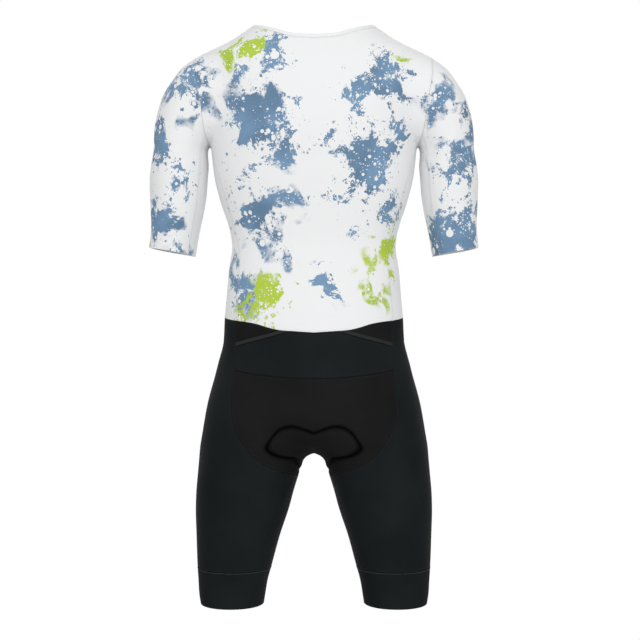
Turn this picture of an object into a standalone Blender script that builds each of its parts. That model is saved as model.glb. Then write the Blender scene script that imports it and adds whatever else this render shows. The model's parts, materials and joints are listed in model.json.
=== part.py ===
"""Triathlon suit in its worn shape, with no wearer inside it.

The suit is a set of thin cloth panels cut from one smooth form: a trunk, two upper arms and two
thighs, joined by soft fillets.  +Z is up, +X is the wearer's right and the back faces -Y.  The
origin lies midway between the points where the neck binding crosses the shoulders, from which the
suit hangs.  Tables and sizes are in millimetres, and the meshes are made in metres.
"""
import math

import bmesh
import bpy
import numpy as np

MM = 0.001

# How square a section is: 2 is an ellipse, and more is nearer to a rectangle.
TRUNK_SQUARENESS = 2.3
LIMB_SQUARENESS = 2.1

# The trunk's level sections: height, half width, depth to the back, depth to the front.
TRUNK = (
    (40, 58, 56, 54),
    (4, 88, 66, 58),
    (0, 96, 69, 60),
    (-27, 138, 84, 68),
    (-45, 170, 91, 75),
    (-60, 184, 96, 81),
    (-80, 181, 101, 88),
    (-120, 173, 108, 100),
    (-160, 170.5, 110, 108),
    (-203, 168.2, 106, 112),
    (-225, 166, 102, 111.5),
    (-252, 162.5, 98, 110),
    (-295, 151, 90, 104),
    (-331, 139, 84, 98),
    (-360, 134, 81, 95),
    (-401, 139.5, 84, 96),
    (-444, 143, 90, 97),
    (-478, 146, 96, 97),
    (-531, 149.5, 107, 97),
    (-568, 157, 116, 96),
    (-612, 167, 122, 93),
    (-720, 167, 122, 93),
)
TRUNK_CLOSES = (-612, 86)  # where the trunk starts to close below, and over what height

# An upper arm's level sections: height, distance out, half width, half depth.
ARM = (
    (-40, 158, 52, 58),
    (-56, 165, 54, 60),
    (-72, 172, 53, 62),
    (-89, 179, 53, 64),
    (-111, 192, 54, 66),
    (-132, 203, 51, 65),
    (-158, 211, 49, 63),
    (-180, 215, 47.5, 61.5),
    (-203, 219, 43.8, 60),
    (-230, 221, 46.6, 58),
    (-252, 223, 46.9, 57),
    (-273, 223.5, 46, 55),
    (-302, 225, 43.4, 51.5),
    (-325, 227, 40.5, 48.5),
    (-348, 230, 39, 46.5),
    (-372, 233.5, 38.4, 45.5),
    (-400, 237, 37.8, 45),
)
ARM_CLOSES = (-95, 47)  # where the arm starts to close above, and over what height

# A thigh's level sections: height, distance out, half width, depth to the back, to the front.
LEG = (
    (-520, 74, 66, 86, 76),
    (-568, 80, 73, 110, 89),
    (-612, 83, 84.5, 118, 92),
    (-642, 88, 90, 121, 91),
    (-669, 92, 91, 117, 90),
    (-690, 97.5, 89, 112, 90),
    (-710, 103.6, 84.6, 107, 89),
    (-736, 108, 82.5, 99, 88.5),
    (-764, 113.5, 79.5, 92, 87.5),
    (-790, 117.4, 76.4, 87, 86),
    (-838, 124.8, 67.9, 78, 80),
    (-886, 130.5, 60.5, 70, 73),
    (-909, 133, 56.5, 67, 70),
    (-935, 134.4, 53.4, 64.5, 67),
    (-952, 134.3, 50.8, 63, 65),
    (-980, 134.3, 49, 61, 64),
)
LEG_CLOSES = (-560, 60)  # where the thigh starts to close above, and over what height

# How far off two limbs start to run together: trunk and thighs, then trunk and arm by height.
CROTCH_FILLET = 20
ARM_FILLETS = (
    (-205, -198, -190, -180, -165, -145, -120, -95, -75),
    (8, 10, 16, 30, 48, 54, 45, 28, 18),
)

# How far past a limb's own surface its cloth may reach for the fillets: heights, distances.
TRUNK_SPARE = (
    (-420, -400, -208, -198, -190, -180, -165, -150, -100),
    (60, 0.5, 0.5, 1.5, 4, 12, 25, 40, 60),
)
ARM_SPARE = ((-208, -198, -190, -180, -165, -150), (0.5, 1.5, 4, 8, 12, 15))

# Cloth.
WALL = 1.2  # a panel's thickness
SEAM_GAP = 0.5  # between two panels' edges
LAYER_GAP = 0.3  # between a panel and what lies on it
REACH = 200  # farther than any cloth lies from the axis it is cast from
LIFT_STEP = 1.5  # how far round a point its slope is taken over for the two skins

# How many steps each stretch of cloth is made in.
BACK_COLUMNS = 9
FRONT_COLUMNS = 7
SIDE_COLUMNS = 3
SIDE_ROWS = 10
SIDE_CLOSING = 1.75  # how much the rows below the armpit draw together
ARMHOLE_ROWS = 10
SHOULDER_ROWS = 5
HIP_ROWS = 5
HIP_JOIN = 5  # the seat's row at whose level the hip is joined to the thigh's tube
SEAT_ROWS = 17
SLEEVE_CAP_ROWS = 4
SLEEVE_ROWS = 7
THIGH_ROWS = 6
BAND_ROWS = 2

# Seams of the trunk.  A turn is in degrees about an upright axis: 0 back, 90 outer side, 180 front.
NECK_SEAM = (  # turn, height
    (0, -34.7),
    (25, -31),
    (43, -21),
    (65, -10),
    (90, -3),
    (112, -15),
    (127, -34),
    (140, -48),
    (158, -58),
    (180, -62),
)
WAIST_SEAM = (  # turn, height
    (0, -503),
    (17, -501),
    (31, -498.8),
    (40, -494.5),
    (47.5, -489.7),
    (56, -486.4),
    (66, -484),
    (90, -478),
    (120, -474),
    (180, -471),
)
YOKE_SEAM = (  # turn, height
    (0, -575),
    (14.5, -575),
    (29, -572.3),
    (41, -568.7),
    (55, -562.8),
)
SIDE_SEAM = (  # height, turn at the back, turn at the front
    (-562.8, 55, 106),
    (-520, 62, 107),
    (-484, 66, 108),
    (-440, 67.7, 109),
    (-403, 67.6, 110),
    (-372, 70.3, 110),
    (-345, 73.3, 109),
    (-300, 73.4, 107),
    (-255, 74.4, 104.5),
    (-222, 78.8, 100),
    (-199, 84, 96),
)
SHOULDER_SEAM_TURN = 95
CHEST_LEVEL = -215  # where the row of the armhole's foot meets the suit's middle
TIP_DROP = 25  # how far below the neck the row of the shoulder's tip does

# The armhole, seen from the side as an angle about ARMHOLE_CENTRE: 0 up, 90 back, 180 down.
ARMHOLE_CENTRE = -125
ARMHOLE = (  # angle, distance out from the suit's middle
    (-40, 184),
    (0, 190),
    (30, 192),
    (48, 191.6),
    (68, 188.8),
    (84, 185),
    (99, 181.8),
    (118, 180),
    (137, 177.4),
    (153, 174.4),
    (172, 171.4),
    (188, 171),
    (205, 171.4),
    (225, 173.3),
    (250, 172.5),
    (275, 173.5),
    (300, 178),
    (330, 185.5),
    (360, 190),
)
SHOULDER_SEAM_ANGLE = -8
SIDE_SEAM_ANGLES = (163, 197)

# Where the sleeve's rings turn to for an angle round the armhole.
SLEEVE_TURNS = (  # angle, turn about the arm
    (-8, 98),
    (60, 32),
    (146, -43),
    (180, -90),
    (212.5, -137),
    (290, -204),
    (352, -262),
)
ELBOW_RING = (-200, 22)  # middle height, and how much higher it is outside: below the armhole
SLEEVE_HEM = (-371, 7.5)  # the same for the hem

# The seat panel's edge and its middle line, row by row from the yoke seam round to the front.
TIP_INSET = 0.05  # how far the seat's front tip stays off the legs, as a share of its last step
SEAT_PIVOT = -600  # height about which the middle line's angle is measured, 0 back, 90 down
SEAT = (  # row, angle of the middle line, edge across, edge along, edge height
    (0, -12, 126.4, -88, -562.8),
    (1, -2.5, 128.9, -95, -587.5),
    (2, 5.5, 129.9, -100.6, -609),
    (3, 14, 128.8, -107, -630),
    (4, 22, 124.7, -112, -651),
    (5, 30, 114.6, -113.5, -672),
    (6, 38, 103.2, -112, -689),
    (7, 46, 90.6, -108.4, -702),
    (8, 54, 74.5, -100, -713.5),
    (9, 63, 55.7, -84, -723),
    (10, 75, 35.9, -53, -732),
    (11, 85, 26, -20, -737),
    (12, 95, 25, 5, -737),
    (13, 106, 25, 30, -732),
    (14, 117, 24, 52, -721),
    (15, 128, 21, 68, -704),
    (16, 139, 13, 80, -682),
    (17, 148, 0, 88, -655),
)
BAND_SEAM = -888
LEG_HEM = -948

# Bindings, zip, pocket, bands and pad.
BINDING_HEIGHT = 6.6  # the neck binding's
BINDING_WALL = 2.0
ZIP_HALF_WIDTH = 6.5  # from the suit's middle to the far edge of a tape
TAPE_INSET = 1.2  # how far inside the front's seams the tapes end
ZIP_DEPTHS = (97, 81.9)  # how far forward the zip's edges lie at the waist and at the neck
ZIP_OPENING = 0.5  # between its two tapes
MOUTH_COLUMN = 4  # the line of the lower back at which a slanted mouth leaves the waist seam
MOUTH_END = -520  # its height where it meets the side seam
MOUTH_CLEAR = 1.0
POCKET_INSET = 0.06  # how far inside its seams the pocket ends, as a share of the lower back's step
POCKET_GAP = 0.7  # how far the pocket lies off the lower back
MOUTH_GAP = 1.0  # between the pocket and its bindings
POCKET_BINDING = 6.0  # the width of the elastic along a mouth
POCKET_WALL = 1.0
ELASTIC_WALL = 1.4
BAND_WALL = 1.5
UNDER_COLUMNS = (9, 14)  # which lines of the sleeve's tube bound its under strip
PAD_WALL = 5.0
PAD_RISE = 2.0  # how far the pad lifts the seat panel
PAD_COLUMNS = 6  # how many of the seat's columns the pad fills, out from the middle
PAD_START = 5  # the seat's rows between which the pad lies
PAD_END = 15
LOBE_RISE = 14  # how much higher the pad's two back lobes are than its middle
PAD_FILL = (  # row of the seat, share of the seat's width that the pad fills
    (0, 0.667),
    (4, 0.65),
    (5, 0.66),
    (6, 0.72),
    (7, 0.74),
    (8, 0.7),
    (9, 0.66),
    (11, 0.8),
    (13, 0.8),
    (15, 0.75),
    (17, 0.7),
)

# The zip's slider and its pull tab, in the slider's own frame: across, down and out.
SLIDER_HEIGHT = -75
SLIDER_GAP = 0.6  # between the tapes and the slider
SLIDER_SIZE = (9.2, 13, 2.2)
SLIDER_BEVEL = 0.8
ARCH_SIZE = (2.5, 8, 3.2)  # the bridge on the slider that holds the tab
ARCH_WALL = 0.9
ARCH_SUNK = 0.3  # how deep its feet go into the slider
PULL_SIZE = (6.5, 28, 1.2)
PULL_BEVEL = 0.4
PULL_BAR = 1.2  # the tab's end bar, which runs under the arch
PULL_WINDOW = (3.6, 7)  # the opening that goes round the arch's foot
PULL_AXIS = 2.1  # how far below the slider's middle the bar lies
PULL_TILT = 3  # degrees by which the tab's tip hangs in towards the cloth

# Materials: colour, roughness, metallic.
WHITE_CLOTH = ((0.86, 0.88, 0.88), 0.62, 0.0)
BLACK_CLOTH = ((0.012, 0.014, 0.015), 0.55, 0.0)
SEAT_CLOTH = ((0.014, 0.013, 0.013), 0.6, 0.0)
ELASTIC = ((0.022, 0.023, 0.024), 0.7, 0.0)
PAD_FOAM = ((0.03, 0.03, 0.035), 0.85, 0.0)
ZIP_TAPE = ((0.8, 0.81, 0.81), 0.6, 0.0)
ZIP_METAL = ((0.55, 0.56, 0.57), 0.35, 0.9)

for old in list(bpy.data.objects):
    bpy.data.objects.remove(old, do_unlink=True)
SUIT = bpy.data.collections.new("triathlon_suit")
bpy.context.scene.collection.children.link(SUIT)
CUTTERS = bpy.data.collections.new("cutters")
bpy.context.scene.collection.children.link(CUTTERS)


def read_rows(rows, height):
    """Every column of a table at the given heights, on a smooth curve through its rows."""
    table = np.array(sorted(rows), float)
    knots, values = table[:, 0], table[:, 1:]
    slopes = np.gradient(values, knots, axis=0)
    height = np.clip(height, knots[0], knots[-1])
    row = np.clip(np.searchsorted(knots, height) - 1, 0, len(knots) - 2)
    step = knots[row + 1] - knots[row]
    t = (height - knots[row]) / step
    low = (1 + 2 * t) * (1 - t) ** 2
    high = t * t * (3 - 2 * t)
    rise_low = t * (1 - t) ** 2 * step
    rise_high = t * t * (t - 1) * step
    return [
        low * values[row, k] + high * values[row + 1, k]
        + rise_low * slopes[row, k] + rise_high * slopes[row + 1, k]
        for k in range(values.shape[1])
    ]


def section(across, along, up, squareness):
    """1 on a rounded section, less inside it; up is 0 where the limb isn't closing."""
    total = np.abs(across) ** squareness + np.abs(along) ** squareness + up ** squareness
    return total ** (1 / squareness)


def trunk_level(x, y, z):
    width, back, front = read_rows(TRUNK, z)
    depth = np.where(y < 0, back, front)
    start, height = TRUNK_CLOSES
    up = np.maximum(start - z, 0) / height
    return section(x / width, y / depth, up, TRUNK_SQUARENESS)


def arm_level(x, y, z):
    out, width, depth = read_rows(ARM, z)
    start, height = ARM_CLOSES
    up = np.maximum(z - start, 0) / height
    return section((x - out) / width, y / depth, up, LIMB_SQUARENESS)


def leg_level(x, y, z):
    out, width, back, front = read_rows(LEG, z)
    depth = np.where(y < 0, back, front)
    start, height = LEG_CLOSES
    up = np.maximum(z - start, 0) / height
    return section((x - out) / width, y / depth, up, LIMB_SQUARENESS)


def distance(level, x, y, z):
    """About how far a point is from a limb's surface, negative inside: level over its slope."""
    here = level(x, y, z)
    step = 0.5
    slope_x = (level(x + step, y, z) - here) / step
    slope_y = (level(x, y + step, z) - here) / step
    slope_z = (level(x, y, z + step) - here) / step
    slope = np.sqrt(slope_x ** 2 + slope_y ** 2 + slope_z ** 2)
    return (here - 1) / np.maximum(slope, 0.002)


def join(first, second, fillet):
    """The nearer of two distances, rounded where they are within a fillet of each other."""
    near = np.maximum(fillet - np.abs(first - second), 0) / fillet
    return np.minimum(first, second) - near * near * fillet / 4


def form(points):
    """About how far points are from the figure's surface, negative inside."""
    x, y, z = points[..., 0], points[..., 1], points[..., 2]
    trunk = distance(trunk_level, x, y, z)
    legs = np.minimum(distance(leg_level, x, y, z), distance(leg_level, -x, y, z))
    arm = distance(arm_level, np.abs(x), y, z)
    body = join(trunk, legs, CROTCH_FILLET)
    return join(body, arm, np.interp(z, *ARM_FILLETS))


def smooth(table, at):
    """The columns of a table at given values of its first column, on a smooth curve."""
    return np.stack(read_rows(table, np.asarray(at, float)), -1)


def steps(start, end, count):
    return np.linspace(start, end, count + 1)


def cast(start, way, limit):
    """Where lines from inside the form meet its surface, or their limit if that comes first."""
    reach = np.zeros(start.shape[:-1])
    for _ in range(40):
        reach = np.minimum(reach - form(start + reach[..., None] * way), limit)
    step = 0.5
    for _ in range(10):
        here = form(start + reach[..., None] * way)
        rate = (form(start + (reach + step)[..., None] * way) - here) / step
        reach = np.minimum(reach - np.clip(here / np.maximum(rate, 0.02), -6, 6), limit)
    return start + reach[..., None] * way


def slope(points, step=0.4):
    """The direction in which the form's distance grows, and how fast it does."""
    parts = []
    for axis in range(3):
        shift = np.zeros(3)
        shift[axis] = step
        parts.append((form(points + shift) - form(points - shift)) / (2 * step))
    rise = np.stack(parts, -1)
    length = np.maximum(np.linalg.norm(rise, axis=-1, keepdims=True), 0.05)
    return rise / length, length[..., 0]


def settle(points):
    """Points moved square onto the form's surface."""
    for _ in range(12):
        way, rate = slope(points)
        points = points - way * (form(points) / rate)[..., None]
    return points


def around(out, turn, height):
    """Start points on an upright axis and the level ways out of it at the given turns."""
    turn = np.radians(turn)
    start = np.stack([out + 0 * turn, 0 * turn, height + 0 * turn], -1)
    way = np.stack([np.sin(turn), -np.cos(turn), 0 * turn], -1)
    return start, way


def reach_of(level, start, way):
    """How far a limb by itself reaches from its axis, which lies inside it."""
    near, far = np.zeros(start.shape[:-1]), np.full(start.shape[:-1], 400.0)
    for _ in range(30):
        middle = (near + far) / 2
        at = start + middle[..., None] * way
        inside = level(at[..., 0], at[..., 1], at[..., 2]) < 1
        near, far = np.where(inside, middle, near), np.where(inside, far, middle)
    return near


def trunk_points(turn, height):
    start, way = around(0.0, turn, height)
    spare = np.interp(height, *TRUNK_SPARE)
    return settle(cast(start, way, reach_of(trunk_level, start, way) + spare))


def arm_points(turn, height):
    start, way = around(read_rows(ARM, height)[0], turn, height)
    spare = np.interp(height, *ARM_SPARE)
    return settle(cast(start, way, reach_of(arm_level, start, way) + spare))


def leg_points(turn, height):
    start, way = around(read_rows(LEG, height)[0], turn, height)
    return cast(start, way, REACH)


def unrolled(points, out):
    """The turns and heights of a run of points about an upright axis, with no jump at 360."""
    turn = np.degrees(np.arctan2(points[:, 0] - out, -points[:, 1]))
    return np.stack([np.unwrap(turn, period=360), points[:, 2]], -1)


def spanned(bottom, top, left, right):
    """A grid of turns and heights that runs evenly between its four edges."""
    across = np.linspace(0, 1, len(bottom))[None, :, None]
    up = np.linspace(0, 1, len(left))[:, None, None]
    between = (1 - up) * bottom[None] + up * top[None] + (1 - across) * left[:, None]
    between = between + across * right[:, None]
    low = (1 - across) * bottom[0] + across * bottom[-1]
    high = (1 - across) * top[0] + across * top[-1]
    return between - (1 - up) * low - up * high


def panel(bottom, top, left, right):
    """A grid of points on the trunk between four edges whose points it keeps."""
    grid = spanned(*(unrolled(edge, 0) for edge in (bottom, top, left, right)))
    points = trunk_points(grid[..., 0], grid[..., 1])
    points[0], points[-1], points[:, 0], points[:, -1] = bottom, top, left, right
    return points


def trunk_seam(table, start, end, count):
    """A seam round the trunk from one turn to another."""
    turn = steps(start, end, count)
    return trunk_points(turn, smooth(table, turn)[:, 0])


def side_seam(column, start, end, count, closing=1.0):
    """A side seam between two heights: column 0 is the back one and 1 the front one.

    Its rows draw together towards the top where closing is more than 1.
    """
    height = start + (end - start) * (1 - (1 - steps(0, 1, count)) ** closing)
    return trunk_points(smooth(SIDE_SEAM, height)[:, column], height)


def armhole(start, end, count):
    """A stretch of the armhole, cast square to the side from its centre."""
    angle = steps(start, end, count)
    out = smooth(ARMHOLE, angle)[:, 0]
    centre = np.stack([out, 0 * out, ARMHOLE_CENTRE + 0 * out], -1)
    turn = np.radians(angle)
    way = np.stack([0 * turn, -np.sin(turn), np.cos(turn)], -1)
    return cast(centre, way, REACH)


def pulled(points, edges, gap):
    """A grid with the named edges moved in along the form, towards their neighbours."""
    points = points.copy()
    lines = {
        "bottom": ((0,), (1,)),
        "top": ((-1,), (-2,)),
        "left": ((slice(None), 0), (slice(None), 1)),
        "right": ((slice(None), -1), (slice(None), -2)),
    }
    for edge in edges:
        rim, inner = lines[edge]
        inwards = points[inner] - points[rim]
        along = np.gradient(points[rim], axis=0)
        way = np.cross(slope(points[rim], LIFT_STEP)[0], along)
        way /= np.maximum(np.linalg.norm(way, axis=-1, keepdims=True), 1e-6)
        room = np.sum(way * inwards, -1, keepdims=True)
        points[rim] += way * np.sign(room) * np.minimum(gap, np.abs(room) / 2)
    return points


def moved_out(points, offset):
    """Points moved square off the form, out from it where the offset is positive."""
    return points + slope(points)[0] * np.asarray(offset)[..., None]


def material(name, finish):
    colour, roughness, metallic = finish
    made = bpy.data.materials.new(name)
    made.use_nodes = True
    shader = made.node_tree.nodes["Principled BSDF"]
    shader.inputs["Base Color"].default_value = (*colour, 1)
    shader.inputs["Roughness"].default_value = roughness
    shader.inputs["Metallic"].default_value = metallic
    made.diffuse_color = (*colour, 1)
    return made


def sheet_of(grids, mirrored):
    """Grids of points welded where they meet, in one open surface that faces outwards.

    Each square is parted along the diagonal that lies nearer to the form.
    """
    sheet = bmesh.new()
    for grid in grids:
        points = grid * (-1, 1, 1) if mirrored else grid
        rows, columns = points.shape[:2]
        falling = np.abs(form((points[:-1, :-1] + points[1:, 1:]) / 2))
        rising = np.abs(form((points[:-1, 1:] + points[1:, :-1]) / 2))
        corners = [[sheet.verts.new(points[i, j]) for j in range(columns)] for i in range(rows)]
        for i in range(rows - 1):
            for j in range(columns - 1):
                low, high = corners[i][j:j + 2], corners[i + 1][j:j + 2]
                if falling[i, j] <= rising[i, j]:
                    sheet.faces.new([low[0], low[1], high[1]])
                    sheet.faces.new([low[0], high[1], high[0]])
                else:
                    sheet.faces.new([low[0], low[1], high[0]])
                    sheet.faces.new([low[1], high[1], high[0]])
    bmesh.ops.remove_doubles(sheet, verts=sheet.verts, dist=0.01)
    bmesh.ops.dissolve_degenerate(sheet, edges=sheet.edges, dist=0.01)
    middles = np.array([face.calc_center_median() for face in sheet.faces])
    normals = np.array([face.normal for face in sheet.faces])
    if np.sum(normals * slope(middles)[0]) < 0:
        bmesh.ops.reverse_faces(sheet, faces=sheet.faces)
    return sheet


def cloth(name, grids, finish, wall, mirrored=False, half=False):
    """One piece of cloth: a sheet given two skins, wall = how far each lies off the form.

    Both skins are moved along the form's own slope, so the edges of two neighbours stay
    parallel at their seam.  mirrored puts the piece on the wearer's left, and half makes a
    piece that ends in the suit's middle whole by Mirror.
    """
    sheet = sheet_of(grids, mirrored)
    sheet.verts.index_update()
    points = np.array([vertex.co for vertex in sheet.verts], float)
    lift = slope(points, LIFT_STEP)[0]
    in_middle = np.abs(points[:, 0]) < 0.01
    if half:
        lift[in_middle, 0] = 0
    inner, outer = wall
    skins = np.concatenate([points + lift * outer, points + lift * inner]) * MM
    count = len(points)
    faces = []
    for face in sheet.faces:
        corners = [vertex.index for vertex in face.verts]
        faces.append(corners)
        faces.append([corner + count for corner in corners[::-1]])
    for edge in sheet.edges:
        loop = edge.link_loops[0]
        start, end = loop.vert.index, loop.link_loop_next.vert.index
        open_middle = half and in_middle[start] and in_middle[end]
        if edge.is_boundary and not open_middle:
            faces.append([end, start, start + count, end + count])
    sheet.free()
    mesh = bpy.data.meshes.new(name)
    mesh.from_pydata(skins.tolist(), [], faces)
    mesh.materials.append(finish)
    mesh.shade_smooth()
    mesh.set_sharp_from_angle(angle=math.radians(50))
    piece = bpy.data.objects.new(name, mesh)
    SUIT.objects.link(piece)
    if half:
        fold = piece.modifiers.new("Mirror", "MIRROR")
        fold.merge_threshold = 0.0001
    return piece


def pair(name, grids, finish, wall):
    """The same piece of cloth on the wearer's right and left."""
    cloth(name + "_right", grids, finish, wall)
    cloth(name + "_left", grids, finish, wall, mirrored=True)


def layer(thickness, start=None):
    """How far a layer's two skins lie off the form: astride it, or outwards from a start."""
    if start is None:
        return -thickness / 2, thickness / 2
    return start, start + thickness


def lines_of_the_suit():
    """Every seam that two pieces share, worked out once."""
    waist_back = SIDE_SEAM[2][1]
    waist_front = SIDE_SEAM[2][2]
    waist_level, yoke_level, armpit_level = SIDE_SEAM[2][0], SIDE_SEAM[0][0], SIDE_SEAM[-1][0]
    back_end, front_end = SIDE_SEAM_ANGLES
    waist_end, neck_end = (180 - math.degrees(ZIP_HALF_WIDTH / depth) for depth in ZIP_DEPTHS)
    seams = {
        "neck_back": trunk_seam(NECK_SEAM, 0, SHOULDER_SEAM_TURN, BACK_COLUMNS),
        "neck_front": trunk_seam(NECK_SEAM, SHOULDER_SEAM_TURN, neck_end, FRONT_COLUMNS),
        "waist_back": trunk_seam(WAIST_SEAM, 0, waist_back, BACK_COLUMNS),
        "waist_side": trunk_seam(WAIST_SEAM, waist_back, waist_front, SIDE_COLUMNS),
        "waist_front": trunk_seam(WAIST_SEAM, waist_front, waist_end, FRONT_COLUMNS),
        "yoke": trunk_seam(YOKE_SEAM, 0, YOKE_SEAM[-1][0], BACK_COLUMNS),
        "side_back": side_seam(0, waist_level, armpit_level, SIDE_ROWS, SIDE_CLOSING),
        "side_front": side_seam(1, waist_level, armpit_level, SIDE_ROWS, SIDE_CLOSING),
        "side_low": side_seam(0, yoke_level, waist_level, HIP_ROWS),
        "armhole_back": armhole(back_end, SHOULDER_SEAM_ANGLE, ARMHOLE_ROWS),
        "armhole_under": armhole(back_end, front_end, SIDE_COLUMNS),
        "armhole_front": armhole(front_end, 360 + SHOULDER_SEAM_ANGLE, ARMHOLE_ROWS),
    }
    tip, neck = seams["armhole_back"][-1], seams["neck_back"][-1]
    height = steps(tip[2], neck[2], SHOULDER_ROWS)
    start_turn = np.degrees(np.arctan2(tip[0], -tip[1]))
    turn = np.linspace(start_turn, SHOULDER_SEAM_TURN, SHOULDER_ROWS + 1)
    seams["shoulder"] = trunk_points(turn, height)
    seams["shoulder"][0], seams["shoulder"][-1] = tip, neck
    for seam, corner, at in (
        ("side_back", seams["waist_back"][-1], 0),
        ("side_back", seams["armhole_back"][0], -1),
        ("side_front", seams["waist_front"][0], 0),
        ("side_front", seams["armhole_front"][0], -1),
        ("side_low", seams["waist_back"][-1], -1),
        ("side_low", seams["yoke"][-1], 0),
    ):
        seams[seam][at] = corner
    return seams


def trunk_edge(seams, side):
    """The whole edge of the back (side "back") or the front, from waist to neck."""
    parts = (seams["side_" + side], seams["armhole_" + side][1:], seams["shoulder"][1:])
    return np.concatenate(parts)


def row_heights(low, high):
    """Heights down the suit's middle for the rows of a trunk edge, level at the shoulder tip."""
    rows = np.cumsum((0, SIDE_ROWS, ARMHOLE_ROWS, SHOULDER_ROWS))
    return np.interp(np.arange(rows[-1] + 1), rows, (low, CHEST_LEVEL, high - TIP_DROP, high))


def back_body(seams, white):
    edge = trunk_edge(seams, "back")
    height = row_heights(seams["waist_back"][0, 2], seams["neck_back"][0, 2])
    middle = trunk_points(0 * height, height)
    grid = panel(seams["waist_back"], seams["neck_back"], middle, edge)
    grid = pulled(grid, ("bottom", "top", "right"), SEAM_GAP / 2)
    grid[:, 0, 0] = 0
    cloth("back_body", [grid], white, layer(WALL), half=True)


def zip_line(seams, out):
    """A line down the front, a little out from the middle, with a point for each row."""
    height = row_heights(seams["waist_front"][-1, 2], seams["neck_front"][-1, 2])
    start = np.stack([out + 0 * height, 0 * height, height], -1)
    return cast(start, np.array([0.0, 1.0, 0.0]), REACH)


def fronts(seams, white, tape):
    inner = zip_line(seams, ZIP_HALF_WIDTH)
    inner[0], inner[-1] = seams["waist_front"][-1], seams["neck_front"][-1]
    outer = trunk_edge(seams, "front")
    grid = panel(seams["waist_front"], seams["neck_front"], outer, inner)
    all_edges = ("bottom", "top", "left", "right")
    pair("front", [pulled(grid, all_edges, SEAM_GAP / 2)], white, layer(WALL))
    middle = zip_line(seams, ZIP_OPENING / 2)
    strip = pulled(np.stack([inner, middle], 1), ("bottom", "top"), TAPE_INSET)
    strip[:, 0] = pulled(strip, ("left",), SEAM_GAP / 2)[:, 0]
    pair("zip_tape", [strip], tape, layer(WALL))


def side_panels(seams, white):
    grid = panel(
        seams["waist_side"], seams["armhole_under"], seams["side_back"], seams["side_front"]
    )
    edges = ("bottom", "top", "left", "right")
    pair("side_panel", [pulled(grid, edges, SEAM_GAP / 2)], white, layer(WALL))


def ring(turn, height):
    """Turns and heights of a tilted ring round an arm: height is its middle and its rise out."""
    middle, rise = height
    return np.stack([turn, middle + rise * np.sin(np.radians(turn))], -1)


def sleeves(seams, white):
    """The sleeve as one tube from armhole to hem, cut into the sleeve and its under strip."""
    hole = np.concatenate(
        [seams["armhole_back"][::-1], seams["armhole_under"][1:], seams["armhole_front"][1:]]
    )
    back_end, front_end = SIDE_SEAM_ANGLES
    angle = np.concatenate([
        steps(SHOULDER_SEAM_ANGLE, back_end, ARMHOLE_ROWS),
        steps(back_end, front_end, SIDE_COLUMNS)[1:],
        steps(front_end, 360 + SHOULDER_SEAM_ANGLE, ARMHOLE_ROWS)[1:],
    ])
    turn = smooth(SLEEVE_TURNS, angle)[:, 0]
    top = unrolled(hole, read_rows(ARM, hole[:, 2])[0])
    elbow, hem = ring(turn, ELBOW_RING), ring(turn, SLEEVE_HEM)
    cap = [top + (elbow - top) * s for s in steps(0, 1, SLEEVE_CAP_ROWS)]
    rest = [elbow + (hem - elbow) * s for s in steps(0, 1, SLEEVE_ROWS)[1:]]
    grid = np.stack(cap + rest)
    points = arm_points(grid[..., 0], grid[..., 1])
    points[0] = hole
    points[:, -1] = points[:, 0]
    first, last = UNDER_COLUMNS
    under = points[:, first:last + 1]
    over = np.concatenate([points[:, last:-1], points[:, :first + 1]], 1)
    edges = ("bottom", "left", "right")
    pair("sleeve", [pulled(over, edges, SEAM_GAP / 2)], white, layer(WALL))
    pair("sleeve_under", [pulled(under, edges, SEAM_GAP / 2)], white, layer(WALL))


def neck_binding(seams, finish):
    """A folded strip standing on the neck seam, open at the zip."""
    seam = np.concatenate([seams["neck_back"], seams["neck_front"][1:]])
    start = np.array([[ZIP_OPENING / 2, 0, NECK_SEAM[-1][1]]])
    seam = np.concatenate([seam, cast(start, np.array([0.0, 1.0, 0.0]), REACH)])
    along = np.gradient(seam, axis=0)
    up = np.cross(slope(seam)[0], along)
    up /= np.linalg.norm(up, axis=1, keepdims=True)
    up *= np.sign(up[:, 2:])
    up[0, 0] = 0
    rows = [seam + up * rise for rise in (SEAM_GAP / 2, BINDING_HEIGHT)]
    grid = np.stack(rows)
    grid[:, -1, 0] = ZIP_OPENING / 2
    cloth("neck_binding", [grid], finish, layer(BINDING_WALL), half=True)


def lower_back(seams, finish):
    height = np.linspace(seams["yoke"][0, 2], seams["waist_back"][0, 2], HIP_ROWS + 1)
    middle = trunk_points(0 * height, height)
    grid = panel(seams["yoke"], seams["waist_back"], middle, seams["side_low"])
    grid = pulled(grid, ("bottom", "top", "right"), SEAM_GAP / 2)
    grid[:, 0, 0] = 0
    cloth("lower_back", [grid], finish, layer(WALL), half=True)
    return grid


def pocket_lines(grid):
    """The pocket's top edge and the bound mouth above it, as rows of the lower back's grid."""
    column = np.arange(BACK_COLUMNS + 1)
    low, high = grid[0, :, 2], grid[-1, :, 2] - MOUTH_CLEAR
    inner, outer = high[MOUTH_COLUMN], MOUTH_END
    run = (column - MOUTH_COLUMN) / (BACK_COLUMNS - MOUTH_COLUMN)
    mouth = np.minimum(high, inner + run * (outer - inner))
    mouth[:MOUTH_COLUMN] = high[:MOUTH_COLUMN]
    run = (column - MOUTH_COLUMN + 1) / (BACK_COLUMNS - MOUTH_COLUMN + 1)
    inner = high[MOUTH_COLUMN - 1]
    edge = np.minimum(high, inner + run * (outer - POCKET_BINDING - inner))
    scale = (len(grid) - 1) / (grid[-1, :, 2] - low)
    return (edge - low) * scale, (mouth - low) * scale


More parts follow.
